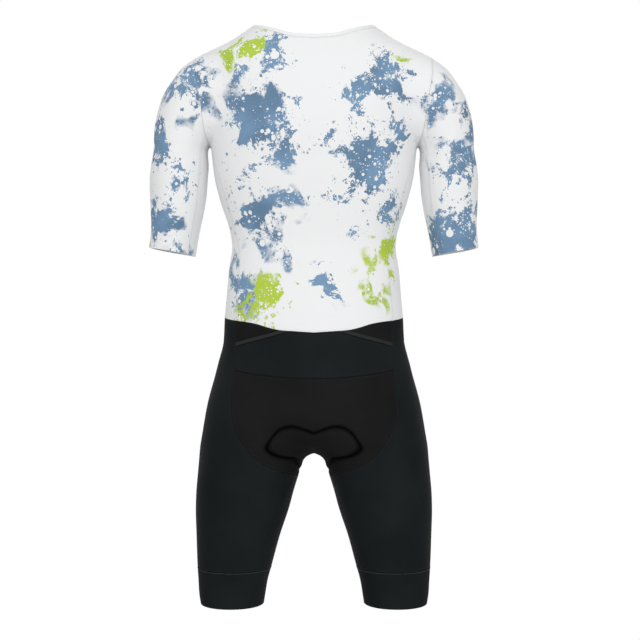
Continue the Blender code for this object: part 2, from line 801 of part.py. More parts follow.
def back_pocket(lower, black, elastic):
    """The pocket lies on the lower back, with a bound slanted mouth on either side."""
    edge, mouth = pocket_lines(lower)
    column = np.arange(BACK_COLUMNS + 1.0)
    column[-1] -= POCKET_INSET
    gap = MOUTH_GAP / (lower[1, 0, 2] - lower[0, 0, 2])
    top = np.where(mouth > edge, edge - gap, edge)
    share = np.linspace(0, 1, HIP_ROWS + 1)[:, None]
    row = POCKET_INSET + share * (top - POCKET_INSET)[None]
    points = sampled(lower, row, column[None] + 0 * row)
    points[:, 0, 0] = 0
    out = WALL / 2 + POCKET_GAP
    cloth("back_pocket", [points], black, layer(POCKET_WALL, out), half=True)

    bound = slice(MOUTH_COLUMN - 1, None)
    row = np.stack([edge[bound], mouth[bound]])
    points = sampled(lower, row, column[None, bound] + 0 * row)
    pair("pocket_binding", [points], elastic, layer(ELASTIC_WALL, out))


def seat_grid(seams):
    """The seat panel's right half: rows from the yoke seam down and round to the front tip."""
    rows = smooth(SEAT, steps(0, SEAT_ROWS, SEAT_ROWS))
    turn = np.radians(rows[:, 0])
    centre = np.tile((0.0, 0.0, SEAT_PIVOT), (len(turn), 1))
    way = np.stack([0 * turn, -np.cos(turn), -np.sin(turn)], -1)
    middle = cast(centre, way, REACH)
    middle[0] = seams["yoke"][0]
    edge = settle(rows[:, 1:])
    edge[0], edge[-1] = seams["yoke"][-1], middle[-1]
    fill = smooth(PAD_FILL, steps(0, SEAT_ROWS, SEAT_ROWS))
    inside = fill * np.linspace(0, 1, PAD_COLUMNS + 1)
    outside = fill + (1 - fill) * np.linspace(0, 1, BACK_COLUMNS - PAD_COLUMNS + 1)[1:]
    share = np.concatenate([inside, outside], 1)[..., None]
    grid = middle[:, None] + share * (edge - middle)[:, None]
    row = np.arange(SEAT_ROWS + 1)[:, None]
    lobe = np.sin(np.pi * np.minimum(share[..., 0] / fill, 1))
    grid[..., 2] += LOBE_RISE * lobe * np.exp(-((row - PAD_START) / 1.4) ** 2)
    grid = settle(grid)
    grid[0], grid[:, -1] = seams["yoke"], edge
    grid[:, 0] = middle
    grid[:, 0, 0] = 0
    grid[-1] = middle[-1]
    return grid


def eased(value):
    value = np.clip(value, 0, 1)
    return value * value * (3 - 2 * value)


def raised_by_pad(grid):
    """The seat's points lifted where the pad lies under them."""
    row = np.arange(len(grid))[:, None]
    column = np.arange(grid.shape[1])[None]
    lift = eased(PAD_COLUMNS - column) * eased(row - PAD_START + 1) * eased(PAD_END + 1 - row)
    return moved_out(grid, PAD_RISE * lift)


def sampled(grid, row, column):
    """Points of a grid between its own, at fractional rows and columns."""
    i = np.clip(row.astype(int), 0, grid.shape[0] - 2)
    j = np.clip(column.astype(int), 0, grid.shape[1] - 2)
    up, over = (row - i)[..., None], (column - j)[..., None]
    low = grid[i, j] * (1 - over) + grid[i, j + 1] * over
    high = grid[i + 1, j] * (1 - over) + grid[i + 1, j + 1] * over
    return low * (1 - up) + high * up


def seat_and_pad(seams, finish, foam):
    grid = raised_by_pad(seat_grid(seams))
    grid[:, 0, 0] = 0
    tip = grid[-1, 0] + (grid[-2, 0] - grid[-1, 0]) * TIP_INSET
    panel_points = pulled(grid, ("bottom", "right"), SEAM_GAP / 2)
    panel_points[-1] = tip
    panel_points[:, 0, 0] = 0
    cloth("seat_panel", [panel_points], finish, layer(WALL), half=True)

    points = grid[PAD_START:PAD_END + 1, :PAD_COLUMNS + 1]
    inner = -(WALL / 2 + LAYER_GAP + PAD_WALL)
    cloth("seat_pad", [points], foam, layer(PAD_WALL, inner), half=True)


def legs(seams, black, elastic):
    """The hip and front join the thigh tube in one panel, and an elastic band ends the leg."""
    seat_edge = seat_grid(seams)[:, -1]
    tip, corner = seat_edge[-1], seat_edge[HIP_JOIN]
    waist_end = np.array([[0.0, seams["waist_front"][-1, 1], WAIST_SEAM[-1][1]]])
    top = np.concatenate([seams["waist_side"], seams["waist_front"][1:], waist_end])
    back = np.concatenate([seat_edge[HIP_JOIN:0:-1], seams["side_low"]])
    turn = np.linspace(np.degrees(np.arctan2(corner[0], -corner[1])), 180, len(top))
    height = corner[2] + eased((turn - turn[0]) / (180 - turn[0])) * (tip[2] - corner[2])
    hip = trunk_points(turn, height)
    hip[0], hip[-1] = corner, tip
    height = steps(tip[2], waist_end[0, 2], len(back) - 1)
    front = trunk_points(180 + 0 * height, height)
    front[:, 0] = 0
    front[0], front[-1] = tip, waist_end[0]
    upper = panel(hip, top, back, front)
    upper = pulled(upper, ("top", "left", "right"), SEAM_GAP / 2)

    rim = np.concatenate([hip, seat_edge[-2:HIP_JOIN - 1:-1]])
    start = unrolled(rim, read_rows(LEG, rim[:, 2])[0])
    even = np.linspace(start[0, 0], start[0, 0] + 360, len(start))
    turn = (start[:, 0] + even) / 2
    turn[-1] = turn[0] + 360
    seam = np.stack([turn, BAND_SEAM + 0 * turn], -1)
    rows = np.stack([seam + (start - seam) * s for s in steps(0, 1, THIGH_ROWS)])
    tube = leg_points(rows[..., 0], rows[..., 1])
    tube[-1] = rim
    tube[:, -1] = tube[:, 0]
    count = len(hip)
    thigh = pulled(tube, ("bottom", "top"), SEAM_GAP / 2)
    thigh[-1, :count] = upper[0]
    thigh[:, -1] = thigh[:, 0]
    pair("leg", [upper, thigh], black, layer(WALL))

    height = steps(LEG_HEM, BAND_SEAM, BAND_ROWS)[:, None]
    band = leg_points(turn[None] + 0 * height, height + 0 * turn[None])
    band[:, -1] = band[:, 0]
    pair("leg_band", [pulled(band, ("top",), SEAM_GAP / 2)], elastic, layer(BAND_WALL))


def frame_on_zip(tilt):
    """Where the slider lies on the zip, and its ways across, down and out, tilted inwards."""
    start = np.array([0.0, 0.0, SLIDER_HEIGHT])
    origin = cast(start[None], np.array([[0.0, 1.0, 0.0]]), REACH)[0]
    out = slope(origin)[0]
    down = np.cross((1.0, 0.0, 0.0), out)
    down *= -np.sign(down[2])
    turn = math.radians(tilt)
    down, out = (
        down * math.cos(turn) - out * math.sin(turn), out * math.cos(turn) + down * math.sin(turn)
    )
    return origin, np.array([(1.0, 0.0, 0.0), down, out])


def block(name, frame, low, high, collection, finish=None):
    """A box between two corners given in a frame."""
    origin, ways = frame
    box = bmesh.new()
    bmesh.ops.create_cube(box, size=1)
    low, high = np.array(low, float), np.array(high, float)
    for corner in box.verts:
        at = low + (np.array(corner.co) + 0.5) * (high - low)
        corner.co = (origin + at @ ways) * MM
    bmesh.ops.recalc_face_normals(box, faces=box.faces)
    mesh = bpy.data.meshes.new(name)
    box.to_mesh(mesh)
    box.free()
    made = bpy.data.objects.new(name, mesh)
    collection.objects.link(made)
    if finish:
        mesh.materials.append(finish)
    else:
        made.hide_render = True
        made.display_type = "WIRE"
    return made


def cut_by(piece, cutter, operation):
    change = piece.modifiers.new(cutter.name, "BOOLEAN")
    change.operation = operation
    change.object = cutter
    change.solver = "EXACT"


def rounded(piece, width):
    bevel = piece.modifiers.new("Bevel", "BEVEL")
    bevel.width = width * MM
    bevel.segments = 2


def zip_slider_and_pull(metal):
    frame = frame_on_zip(0)
    width, length, height = SLIDER_SIZE
    foot = WALL / 2 + SLIDER_GAP
    top = foot + height
    slider = block(
        "zip_slider", frame, (-width / 2, -length / 2, foot), (width / 2, length / 2, top),
        SUIT, metal,
    )
    rounded(slider, SLIDER_BEVEL)
    width, length, height = ARCH_SIZE
    arch = block(
        "slider_arch", frame, (-width / 2, -length / 2, top - ARCH_SUNK),
        (width / 2, length / 2, top + height), CUTTERS,
    )
    opening = block(
        "arch_opening", frame, (-width, ARCH_WALL - length / 2, top - height),
        (width, length / 2 - ARCH_WALL, top + height - ARCH_WALL), CUTTERS,
    )
    cut_by(arch, opening, "DIFFERENCE")
    cut_by(slider, arch, "UNION")

    origin, ways = frame
    axis = np.array([0, PULL_AXIS, top + (height - ARCH_WALL) / 2]) @ ways + origin
    frame = axis, frame_on_zip(PULL_TILT)[1]
    width, length, height = PULL_SIZE
    pull = block(
        "zip_pull", frame, (-width / 2, -PULL_BAR / 2, -height / 2),
        (width / 2, length, height / 2), SUIT, metal,
    )
    rounded(pull, PULL_BEVEL)
    width, length = PULL_WINDOW
    window = block(
        "pull_window", frame, (-width / 2, PULL_BAR / 2, -height),
        (width / 2, PULL_BAR / 2 + length, height), CUTTERS,
    )
    cut_by(pull, window, "DIFFERENCE")


def main():
    white = material("white_cloth", WHITE_CLOTH)
    black = material("black_cloth", BLACK_CLOTH)
    seat = material("seat_cloth", SEAT_CLOTH)
    elastic = material("elastic", ELASTIC)
    foam = material("pad_foam", PAD_FOAM)
    tape = material("zip_tape", ZIP_TAPE)
    metal = material("zip_metal", ZIP_METAL)
    seams = lines_of_the_suit()
    back_body(seams, white)
    fronts(seams, white, tape)
    side_panels(seams, white)
    sleeves(seams, white)
    neck_binding(seams, white)
    lower = lower_back(seams, seat)
    back_pocket(lower, black, elastic)
    seat_and_pad(seams, seat, foam)
    legs(seams, black, elastic)
    zip_slider_and_pull(metal)


main()
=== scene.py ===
"""Cloth, trims and sewing of a short-sleeved triathlon suit, in its worn shape with no wearer.

Every panel is a grid of points on one smooth form: a trunk, two upper arms and two thighs that run
together in soft fillets.  +Z is up, +X is the wearer's right and the back faces -Y.  Shapes are
worked out in millimetres and the meshes are made in metres.
"""
import bpy
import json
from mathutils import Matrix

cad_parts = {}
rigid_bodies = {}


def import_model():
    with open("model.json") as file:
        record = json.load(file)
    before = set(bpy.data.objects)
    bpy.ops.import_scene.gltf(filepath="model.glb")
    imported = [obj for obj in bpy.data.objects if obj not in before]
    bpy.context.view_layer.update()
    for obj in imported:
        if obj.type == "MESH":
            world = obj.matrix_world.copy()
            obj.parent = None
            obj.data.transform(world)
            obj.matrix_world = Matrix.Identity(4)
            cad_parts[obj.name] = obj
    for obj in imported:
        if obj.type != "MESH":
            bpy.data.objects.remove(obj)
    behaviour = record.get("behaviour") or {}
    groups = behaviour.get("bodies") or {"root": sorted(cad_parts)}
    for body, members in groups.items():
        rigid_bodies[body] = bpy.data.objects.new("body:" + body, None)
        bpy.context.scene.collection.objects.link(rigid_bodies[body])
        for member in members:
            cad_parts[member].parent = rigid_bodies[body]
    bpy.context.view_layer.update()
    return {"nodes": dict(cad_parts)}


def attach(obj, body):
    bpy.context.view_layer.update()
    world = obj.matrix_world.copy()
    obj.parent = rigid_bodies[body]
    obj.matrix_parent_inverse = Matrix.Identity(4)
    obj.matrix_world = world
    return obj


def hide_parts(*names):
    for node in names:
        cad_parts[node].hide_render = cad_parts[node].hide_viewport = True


for unused in list(bpy.data.objects):
    bpy.data.objects.remove(unused)
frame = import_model()

import functools
import json
import math

import numpy as np
from bpy.props import FloatProperty, FloatVectorProperty, IntProperty, PointerProperty

bl_info = {
    "name": "Triathlon suit",
    "version": (1, 0, 0),
    "blender": (4, 5, 0),
    "location": "View3D > Sidebar > Suit",
    "description": "Makes the cloth, trims and sewing of a short-sleeved triathlon suit",
    "category": "Object",
}

MM = 0.001
MICRON = 0.001  # in millimetres
OFF_GRID = 0.137  # keeps round sizes away from where rounding turns

# How square a section is: 2 is an ellipse, and more is nearer to a rectangle.
TRUNK_SQUARENESS = 2.3
LIMB_SQUARENESS = 2.1

# The trunk's level sections: height, half width, depth to the back, depth to the front.
TRUNK = (
    (40, 58, 56, 54), (4, 88, 66, 58), (0, 96, 69, 60), (-27, 138, 84, 68), (-45, 170, 91, 75),
    (-60, 184, 96, 81), (-80, 181, 101, 88), (-120, 173, 108, 100), (-160, 170.5, 110, 108),
    (-203, 168.2, 106, 112), (-225, 166, 102, 111.5), (-252, 162.5, 98, 110), (-295, 151, 90, 104),
    (-331, 139, 84, 98), (-360, 134, 81, 95), (-401, 139.5, 84, 96), (-444, 143, 90, 97),
    (-478, 146, 96, 97), (-531, 149.5, 107, 97), (-568, 157, 116, 96), (-612, 167, 122, 93),
    (-720, 167, 122, 93),
)
TRUNK_CLOSES = (-612, 86)  # where the trunk starts to close below, and over what height

# An upper arm's level sections: height, distance out, half width, half depth.
ARM = (
    (-40, 158, 52, 58), (-56, 165, 54, 60), (-72, 172, 53, 62), (-89, 179, 53, 64),
    (-111, 192, 54, 66), (-132, 203, 51, 65), (-158, 211, 49, 63), (-180, 215, 47.5, 61.5),
    (-203, 219, 43.8, 60), (-230, 221, 46.6, 58), (-252, 223, 46.9, 57), (-273, 223.5, 46, 55),
    (-302, 225, 43.4, 51.5), (-325, 227, 40.5, 48.5), (-348, 230, 39, 46.5),
    (-372, 233.5, 38.4, 45.5), (-400, 237, 37.8, 45),
)
ARM_CLOSES = (-95, 47)  # where the arm starts to close above, and over what height

# A thigh's level sections: height, distance out, half width, depth to the back, to the front.
LEG = (
    (-520, 74, 66, 86, 76), (-568, 80, 73, 110, 89), (-612, 83, 84.5, 118, 92),
    (-642, 88, 90, 121, 91), (-669, 92, 91, 117, 90), (-690, 97.5, 89, 112, 90),
    (-710, 103.6, 84.6, 107, 89), (-736, 108, 82.5, 99, 88.5), (-764, 113.5, 79.5, 92, 87.5),
    (-790, 117.4, 76.4, 87, 86), (-838, 124.8, 67.9, 78, 80), (-886, 130.5, 60.5, 70, 73),
    (-909, 133, 56.5, 67, 70), (-935, 134.4, 53.4, 64.5, 67), (-952, 134.3, 50.8, 63, 65),
    (-980, 134.3, 49, 61, 64),
)
LEG_CLOSES = (-560, 60)  # where the thigh starts to close above, and over what height

# How far off two limbs start to run together: trunk and thighs, then trunk and arm by height.
CROTCH_FILLET = 20
ARM_FILLETS = (
    (-205, -198, -190, -180, -165, -145, -120, -95, -75),
    (8, 10, 16, 30, 48, 54, 45, 28, 18),
)

# How far past a limb's own surface its cloth may reach for the fillets: heights, distances.
TRUNK_SPARE = (
    (-420, -400, -208, -198, -190, -180, -165, -150, -100),
    (60, 0.5, 0.5, 1.5, 4, 12, 25, 40, 60),
)
ARM_SPARE = ((-208, -198, -190, -180, -165, -150), (0.5, 1.5, 4, 8, 12, 15))
REACH = 200  # farther than any cloth lies from the axis it is cast from

# How the form's surface is found: how often each step is taken, and how far it may go.
MARCHES = 40
LONGEST_MARCH = 25
CORRECTIONS = 10
LONGEST_CORRECTION = 2
SETTLINGS = 12
HALVINGS = 30
NEAR_BY = 0.5  # how far away a second point is taken for a slope
LEAST_RATE = 0.2  # what a rate or a length is taken as when it is smaller
LEAST_LEVEL_SLOPE = 0.002
LEAST_SLOPE = 0.05
TINY = 1e-6
LIFT_STEP = 1.5  # how far round a point its slope is taken over for the two skins

# How many steps each stretch of cloth is made in.
BACK_COLUMNS = 36
FRONT_COLUMNS = 28
SIDE_COLUMNS = 12
SIDE_ROWS = 40
SIDE_CLOSING = 1.75  # how much the rows below the armpit draw together
ARMHOLE_ROWS = 40
SHOULDER_ROWS = 20
HIP_ROWS = 20
SLEEVE_CAP_ROWS = 16
SLEEVE_ROWS = 28
THIGH_ROWS = 32
BAND_ROWS = 12
UNDER_COLUMNS = (36, 56)  # which lines of the sleeve's tube bound its under strip
SEAT_LINES = 6  # how many columns, and rows, the seat has for each one of its table
SEAT_STEPS = 7

# Seams of the trunk.  A turn is in degrees about an upright axis: 0 back, 90 out, 180 front.
NECK_SEAM = (  # turn, height
    (0, -34.7), (25, -31), (43, -21), (65, -10), (90, -3), (112, -15), (127, -34), (140, -48),
    (158, -58), (180, -62),
)
WAIST_SEAM = (  # turn, height
    (0, -503), (17, -501), (31, -498.8), (40, -494.5), (47.5, -489.7), (56, -486.4), (66, -484),
    (90, -478), (120, -474), (180, -471),
)
YOKE_SEAM = (  # turn, height
    (0, -575), (14.5, -575), (29, -572.3), (41, -568.7), (55, -562.8),
)
SIDE_SEAM = (  # height, turn at the back, turn at the front
    (-562.8, 55, 106), (-520, 62, 107), (-484, 66, 108), (-440, 67.7, 109), (-403, 67.6, 110),
    (-372, 70.3, 110), (-345, 73.3, 109), (-300, 73.4, 107), (-255, 74.4, 104.5),
    (-222, 78.8, 100), (-199, 84, 96),
)
SHOULDER_SEAM_TURN = 95
CHEST_LEVEL = -215  # where the row of the armhole's foot meets the suit's middle
TIP_DROP = 25  # how far below the neck the row of the shoulder's tip does

# The armhole, seen from the side as an angle about ARMHOLE_CENTRE: 0 up, 90 back, 180 down.
ARMHOLE_CENTRE = -125
ARMHOLE = (  # angle, distance out from the suit's middle
    (-40, 184), (0, 190), (30, 192), (48, 191.6), (68, 188.8), (84, 185), (99, 181.8), (118, 180),
    (137, 177.4), (153, 174.4), (172, 171.4), (188, 171), (205, 171.4), (225, 173.3), (250, 172.5),
    (275, 173.5), (300, 178), (330, 185.5), (360, 190),
)
SHOULDER_SEAM_ANGLE = -8
SIDE_SEAM_ANGLES = (163, 197)
SLEEVE_TURNS = (  # angle round the armhole, turn about the arm
    (-8, 98), (60, 32), (146, -43), (180, -90), (212.5, -137), (290, -204), (352, -262),
)
ELBOW_RING = (-200, 22)  # middle height, and how much higher it is outside: below the armhole
SLEEVE_HEM = (-371, 7.5)  # the same for the hem

# The seat panel's edge and its middle line, row by row from the yoke seam round to the front.
SEAT_PIVOT = -600  # height about which the middle line's angle is measured, 0 back, 90 down
SEAT = (  # row, angle of the middle line, edge across, edge along, edge height
    (0, -12, 126.4, -88, -562.8), (1, -2.5, 128.9, -95, -587.5), (2, 5.5, 129.9, -100.6, -609),
    (3, 14, 128.8, -107, -630), (4, 22, 124.7, -112, -651), (5, 30, 114.6, -113.5, -672),
    (6, 38, 103.2, -112, -689), (7, 46, 90.6, -108.4, -702), (8, 54, 74.5, -100, -713.5),
    (9, 63, 55.7, -84, -723), (10, 75, 35.9, -53, -732), (11, 85, 26, -20, -737),
    (12, 95, 25, 5, -737), (13, 106, 25, 30, -732), (14, 117, 24, 52, -721),
    (15, 128, 21, 68, -704), (16, 139, 13, 80, -682), (17, 148, 0, 88, -655),
)
SEAT_WIDTH = 9  # columns of the seat's table from the middle to the edge
HIP_JOIN = 5  # the seat's row at whose level the hip is joined to the thigh's tube
LEAST_LEG_X = 0.3  # how near the thigh's tube may come to the suit's middle
ROWS_ABOVE = 4  # how many points the leg's edge has for each row of the seat, above and below it
ROWS_BELOW = 4
TIP_ROW = SEAT[-1][0]
TIP_CUT = 0.05  # how much of the seat's last row is left off at its front tip
BAND_SEAM = -888
LEG_HEM = -948

# The pad under the seat: its columns, its rows and how wide each of its rows is.
PAD_COLUMNS = 6
PAD_START = 5
PAD_END = 15
LOBE_RISE = 17  # how much higher the pad's two back lobes are than its middle
YOKE_STEPS = 200  # how finely the seam on which its first row lies is drawn
LOBE_ROWS = 1.4  # over how many rows they fade
PAD_FILL = (  # row of the seat, share of the seat's width that the pad fills
    (0, 0.667), (4, 0.65), (5, 0.66), (6, 0.73), (7, 0.69), (8, 0.57), (9, 0.48), (10, 0.62),
    (11, 0.8), (13, 0.8), (15, 0.75), (17, 0.7),
)
LOBE_ROUNDING = 26  # radius of the pad's outer corners
PAD_RIM = 1.5  # how far inside its outline its foam starts to thicken
PAD_SHOULDER = 9  # how far in from there it has its full thickness
PAD_EDGE = 0.22  # the share of its thickness that its edge has
PAD_GAP = 0.3  # between the pad and the seat's inner skin
PAD_LEAST = 0.4  # how far inside its outline its very edge is taken to lie
CHANNEL_SHARE = 0.45  # how much of its thickness a channel takes
CHANNEL_WIDTH = 3.0  # of the channel down its middle
CHANNEL_ROW = 8.6  # the row of the channel across it, and over how many rows it fades
CHANNEL_ROWS = 3.2 / 17
CHANNEL_END = 5.2  # the column at which that channel ends
GROOVE = (3.4, 3.0, 7.3, 1.7)  # narrowest, how much wider at most, at which row, over how many

# The back pocket, in columns of the lower back's table.
BACK_TABLE = 9
MOUTH_COLUMN = 4  # where a slanted mouth leaves the waist seam
MOUTH_END = -520  # its height where it meets the side seam
MOUTH_CLEAR = 1.0
POCKET_INSET = 0.06
POCKET_BINDING = 6.0  # the width of the elastic along a mouth, and at its very end
LEAST_BINDING = 0.2
POCKET_FOOT = 0.25  # the lower back's row at which the pocket starts
POCKET_COLUMNS = 63  # the steps across the pocket's half, and its points upwards
POCKET_ROWS = 29
MOUTH_COLUMNS = 54  # the same for a mouth's elastic
MOUTH_ROWS = 11
UNDER_BINDING = 1.3  # how far below the elastic the pocket's cloth ends

# Zip and neck.
ZIP_HALF_WIDTH = 6.5  # from the suit's middle to the far edge of a tape
TAPE_INSET = 1.2  # how far inside the front's seams the tapes end
TAPE_LINES = 5
ZIP_DEPTHS = (97, 81.9)  # how far forward the zip's edges lie at the waist and at the neck
ZIP_OPENING = 0.5  # between its two tapes
ZIP_TOP = -69  # the highest tooth
ZIP_BOTTOM = -466  # the lowest one
BINDING_HEIGHT = 6.6
BINDING_CUT = 11.0  # the width of the strip that is folded over to make it
BINDING_SIDES = 20
BINDING_ROUNDING = 2 / 4.5
BINDING_WAVE = 0.12  # how much its thickness varies along it, and the wave's angle per point
BINDING_WAVE_STEP = 2.1
FORWARDS = np.array([0.0, 1.0, 0.0])
TEETH_OUT = 0.24  # how far off the tapes' outer skin the teeth's middles lie
TOOTH_REACH = (2.5, -0.4)  # its ends across the suit's middle
TOOTH_ROUND = (0.27, 0.6)  # half its height and half its width
TOOTH_RINGS = np.array([  # of its rings: share of its length, share of its full size
    (0.0, 0.55), (0.12, 1.0), (0.6, 1.0), (0.9, 0.9), (1.0, 0.5),
])

# The stage, in metres.
CAMERA_PLACE = (0.010, -2.3, -0.483)
CAMERA_LENS = 78.4  # in millimetres, as is the width behind it
CAMERA_WIDTH = 36
LIT_POINT = (0.0, 0.0, -0.48)
LIGHTS = (  # name, place, size across, share of the key light's power
    ("key_light", (-1.1, -2.8, 0.9), 2.2, 1.0),
    ("fill_light", (1.6, -2.5, 0.1), 2.2, 0.7),
    ("back_light", (0.3, 2.8, 0.8), 2.4, 0.8),
)
BACKDROP_EDGE = (0.45, 0.9)  # how far a way points along +Y where the backdrop starts and is full
FLOOR_RINGS = (0.8, 1.6, 2.5, 3.4)
FLOOR_SIDES = 48

# Soft creases: the ends of each, its width, and how far it stands out or, below zero, goes in.
CREASES = (
    ((196, -52, -206), (216, -58, -268), 7, 1.1), ((188, -46, -198), (203, -60, -236), 5, -1.0),
    ((205, -50, -232), (232, -56, -292), 6, -0.8), ((176, -62, -176), (196, -66, -214), 6, -0.9),
    ((160, -66, -204), (140, -84, -236), 8, -0.9), ((163, -58, -222), (146, -80, -262), 7, 0.9),
    ((166, 52, -206), (140, 86, -244), 9, -1.2), ((164, 44, -224), (142, 80, -272), 8, 1.0),
    ((188, 50, -196), (210, 58, -252), 7, 1.1), ((34, -64, -744), (66, -92, -790), 8, -0.9),
    ((38, -40, -748), (74, -86, -826), 9, 0.8), ((34, 40, -738), (66, 80, -700), 9, -1.3),
    ((30, 60, -720), (88, 88, -668), 10, 1.2), ((24, 76, -690), (84, 90, -628), 11, -1.1),
    ((120, -60, -846), (160, -58, -858), 7, 0.6), ((66, 84, -452), (128, 62, -440), 9, 0.7),
    ((60, -88, -462), (122, -62, -446), 9, 0.5),
)

# Where the print's splashes lie: centre, radius, strength.  The layout is this suit's own.
BLUE_SPLASHES = (
    ((-58, -84, -62), 40, 0.75), ((-120, -90, -98), 34, 0.6), ((-92, -104, -160), 62, 0.95),
    ((-52, -104, -216), 34, 0.6), ((-132, -80, -262), 34, 0.7), ((-96, -88, -318), 56, 0.9),
    ((-50, -80, -372), 32, 0.55), ((-122, -60, -432), 44, 0.8), ((-16, -100, -292), 24, 0.4),
    ((122, -88, -104), 48, 0.85), ((66, -104, -124), 34, 0.6), ((130, -84, -196), 40, 0.75),
    ((84, -98, -236), 60, 1.0), ((40, -98, -190), 26, 0.45), ((124, -78, -312), 46, 0.8),
    ((62, -84, -330), 30, 0.5), ((22, -84, -430), 34, 0.5), ((-206, -60, -104), 52, 0.8),
    ((-252, -34, -188), 48, 0.9), ((-218, -52, -258), 40, 0.7), ((-250, -30, -322), 46, 0.75),
    ((-214, -44, -372), 30, 0.6), ((204, -66, -128), 36, 0.6), ((262, -24, -176), 46, 0.8),
    ((226, -50, -226), 44, 0.85), ((250, -34, -296), 40, 0.7), ((216, -44, -346), 56, 0.95),
    ((-120, 78, -130), 62, 0.95), ((-62, 104, -214), 52, 0.8), ((-128, 70, -300), 58, 0.9),
    ((-54, 94, -404), 46, 0.75), ((110, 78, -96), 52, 0.8), ((70, 106, -182), 50, 0.75),
    ((132, 72, -262), 60, 0.95), ((84, 90, -352), 52, 0.85), ((124, 50, -440), 44, 0.8),
    ((-246, 36, -150), 50, 0.85), ((-238, 46, -290), 54, 0.85), ((246, 40, -150), 48, 0.8),
    ((240, 44, -306), 56, 0.9),
)
LIME_SPLASHES = (
    ((-100, -78, -44), 34, 0.8), ((-136, -76, -66), 24, 0.6), ((-70, -92, -440), 46, 0.85),
    ((-112, -70, -478), 34, 0.8), ((142, -70, -66), 22, 0.6), ((138, -60, -372), 44, 0.9),
    ((104, -80, -428), 34, 0.7), ((-262, -10, -366), 26, 0.6), ((92, 70, -70), 36, 0.85),
    ((96, 84, -448), 44, 0.85), ((-110, 70, -380), 40, 0.8),
)


def read_rows(rows, height):
    """Every column of a table at the given heights, on a smooth curve through its rows.

    Between two rows it is the cubic that has both rows' values and slopes.  A row's slope is the
    mean of those to its neighbours, weighted by how near each is.
    """
    table = np.array(sorted(rows), float)
    knots, values = table[:, 0], table[:, 1:]
    slopes = np.gradient(values, knots, axis=0)
    height = np.clip(height, knots[0], knots[-1])
    row = np.clip(np.searchsorted(knots, height) - 1, 0, len(knots) - 2)
    step = knots[row + 1] - knots[row]
    t = (height - knots[row]) / step
    low = (1 + 2 * t) * (1 - t) ** 2
    high = t * t * (3 - 2 * t)
    rise_low = t * (1 - t) ** 2 * step
    rise_high = t * t * (t - 1) * step
    return [
        low * values[row, k] + high * values[row + 1, k]
        + rise_low * slopes[row, k] + rise_high * slopes[row + 1, k]
        for k in range(values.shape[1])
    ]


def section(across, along, up, squareness):
    """1 on a rounded section, less inside it; up is 0 where the limb isn't closing.

    It is the three parts' sizes to the power of the squareness, added up, and that sum's root.
    """
    total = np.abs(across) ** squareness + np.abs(along) ** squareness + up ** squareness
    return total ** (1 / squareness)


def trunk_level(x, y, z):
    """The section's value at a point, which closes over the trunk's lower end."""
    width, back, front = read_rows(TRUNK, z)
    start, height = TRUNK_CLOSES
    up = np.maximum(start - z, 0) / height
    return section(x / width, y / np.where(y < 0, back, front), up, TRUNK_SQUARENESS)


def arm_level(x, y, z):
    """The same for the right upper arm, which closes over its upper end."""
    out, width, depth = read_rows(ARM, z)
    start, height = ARM_CLOSES
    up = np.maximum(z - start, 0) / height
    return section((x - out) / width, y / depth, up, LIMB_SQUARENESS)


def leg_level(x, y, z):
    """The same for the right thigh, which closes over its upper end."""
    out, width, back, front = read_rows(LEG, z)
    start, height = LEG_CLOSES
    up = np.maximum(z - start, 0) / height
    return section((x - out) / width, y / np.where(y < 0, back, front), up, LIMB_SQUARENESS)


def distance(level, x, y, z):
    """About how far a point is from a limb's surface, negative inside: level over its slope."""
    here = level(x, y, z)
    slope_x = (level(x + NEAR_BY, y, z) - here) / NEAR_BY
    slope_y = (level(x, y + NEAR_BY, z) - here) / NEAR_BY
    slope_z = (level(x, y, z + NEAR_BY) - here) / NEAR_BY
    rate = np.sqrt(slope_x ** 2 + slope_y ** 2 + slope_z ** 2)
    return (here - 1) / np.maximum(rate, LEAST_LEVEL_SLOPE)


def join(first, second, fillet):
    """The nearer of two distances, rounded where they are within a fillet of each other."""
    near = np.maximum(fillet - np.abs(first - second), 0) / fillet
    return np.minimum(first, second) - near * near * fillet / 4


def form(points):
    """About how far points are from the suit's form: the nearest limb, with rounded joins."""
    x, y, z = points[..., 0], points[..., 1], points[..., 2]
    trunk = distance(trunk_level, x, y, z)
    legs = np.minimum(distance(leg_level, x, y, z), distance(leg_level, -x, y, z))
    arm = distance(arm_level, np.abs(x), y, z)
    return join(join(trunk, legs, CROTCH_FILLET), arm, np.interp(z, *ARM_FILLETS))


def smooth(table, at):
    """The columns of a table at given values of its first column, on a smooth curve."""
    return np.stack(read_rows(table, np.asarray(at, float)), -1)


def steps(start, end, count):
    """The two ends of a number of even steps, and all the points between them."""
    return np.linspace(start, end, count + 1)


def eased(value):
    """0 up to 0, 1 from 1, and 3 v squared minus 2 v cubed between."""
    value = np.clip(value, 0, 1)
    return value * value * (3 - 2 * value)


def cast(start, way, limit):
    """Where lines from inside the form meet its surface, or their limit if that comes first.

    Each line first goes on by its distance from the form, over and over, and then by the distance
    over the rate at which it falls along the line.
    """
    reach = np.zeros(start.shape[:-1])
    for _ in range(MARCHES):
        march = np.clip(form(start + reach[..., None] * way), -LONGEST_MARCH, LONGEST_MARCH)
        reach = np.minimum(reach - march, limit)
    for _ in range(CORRECTIONS):
        here = form(start + reach[..., None] * way)
        rate = (form(start + (reach + NEAR_BY)[..., None] * way) - here) / NEAR_BY
        back = np.clip(here / np.maximum(rate, LEAST_RATE), -LONGEST_CORRECTION, LONGEST_CORRECTION)
        reach = np.minimum(reach - back, limit)
    return start + reach[..., None] * way


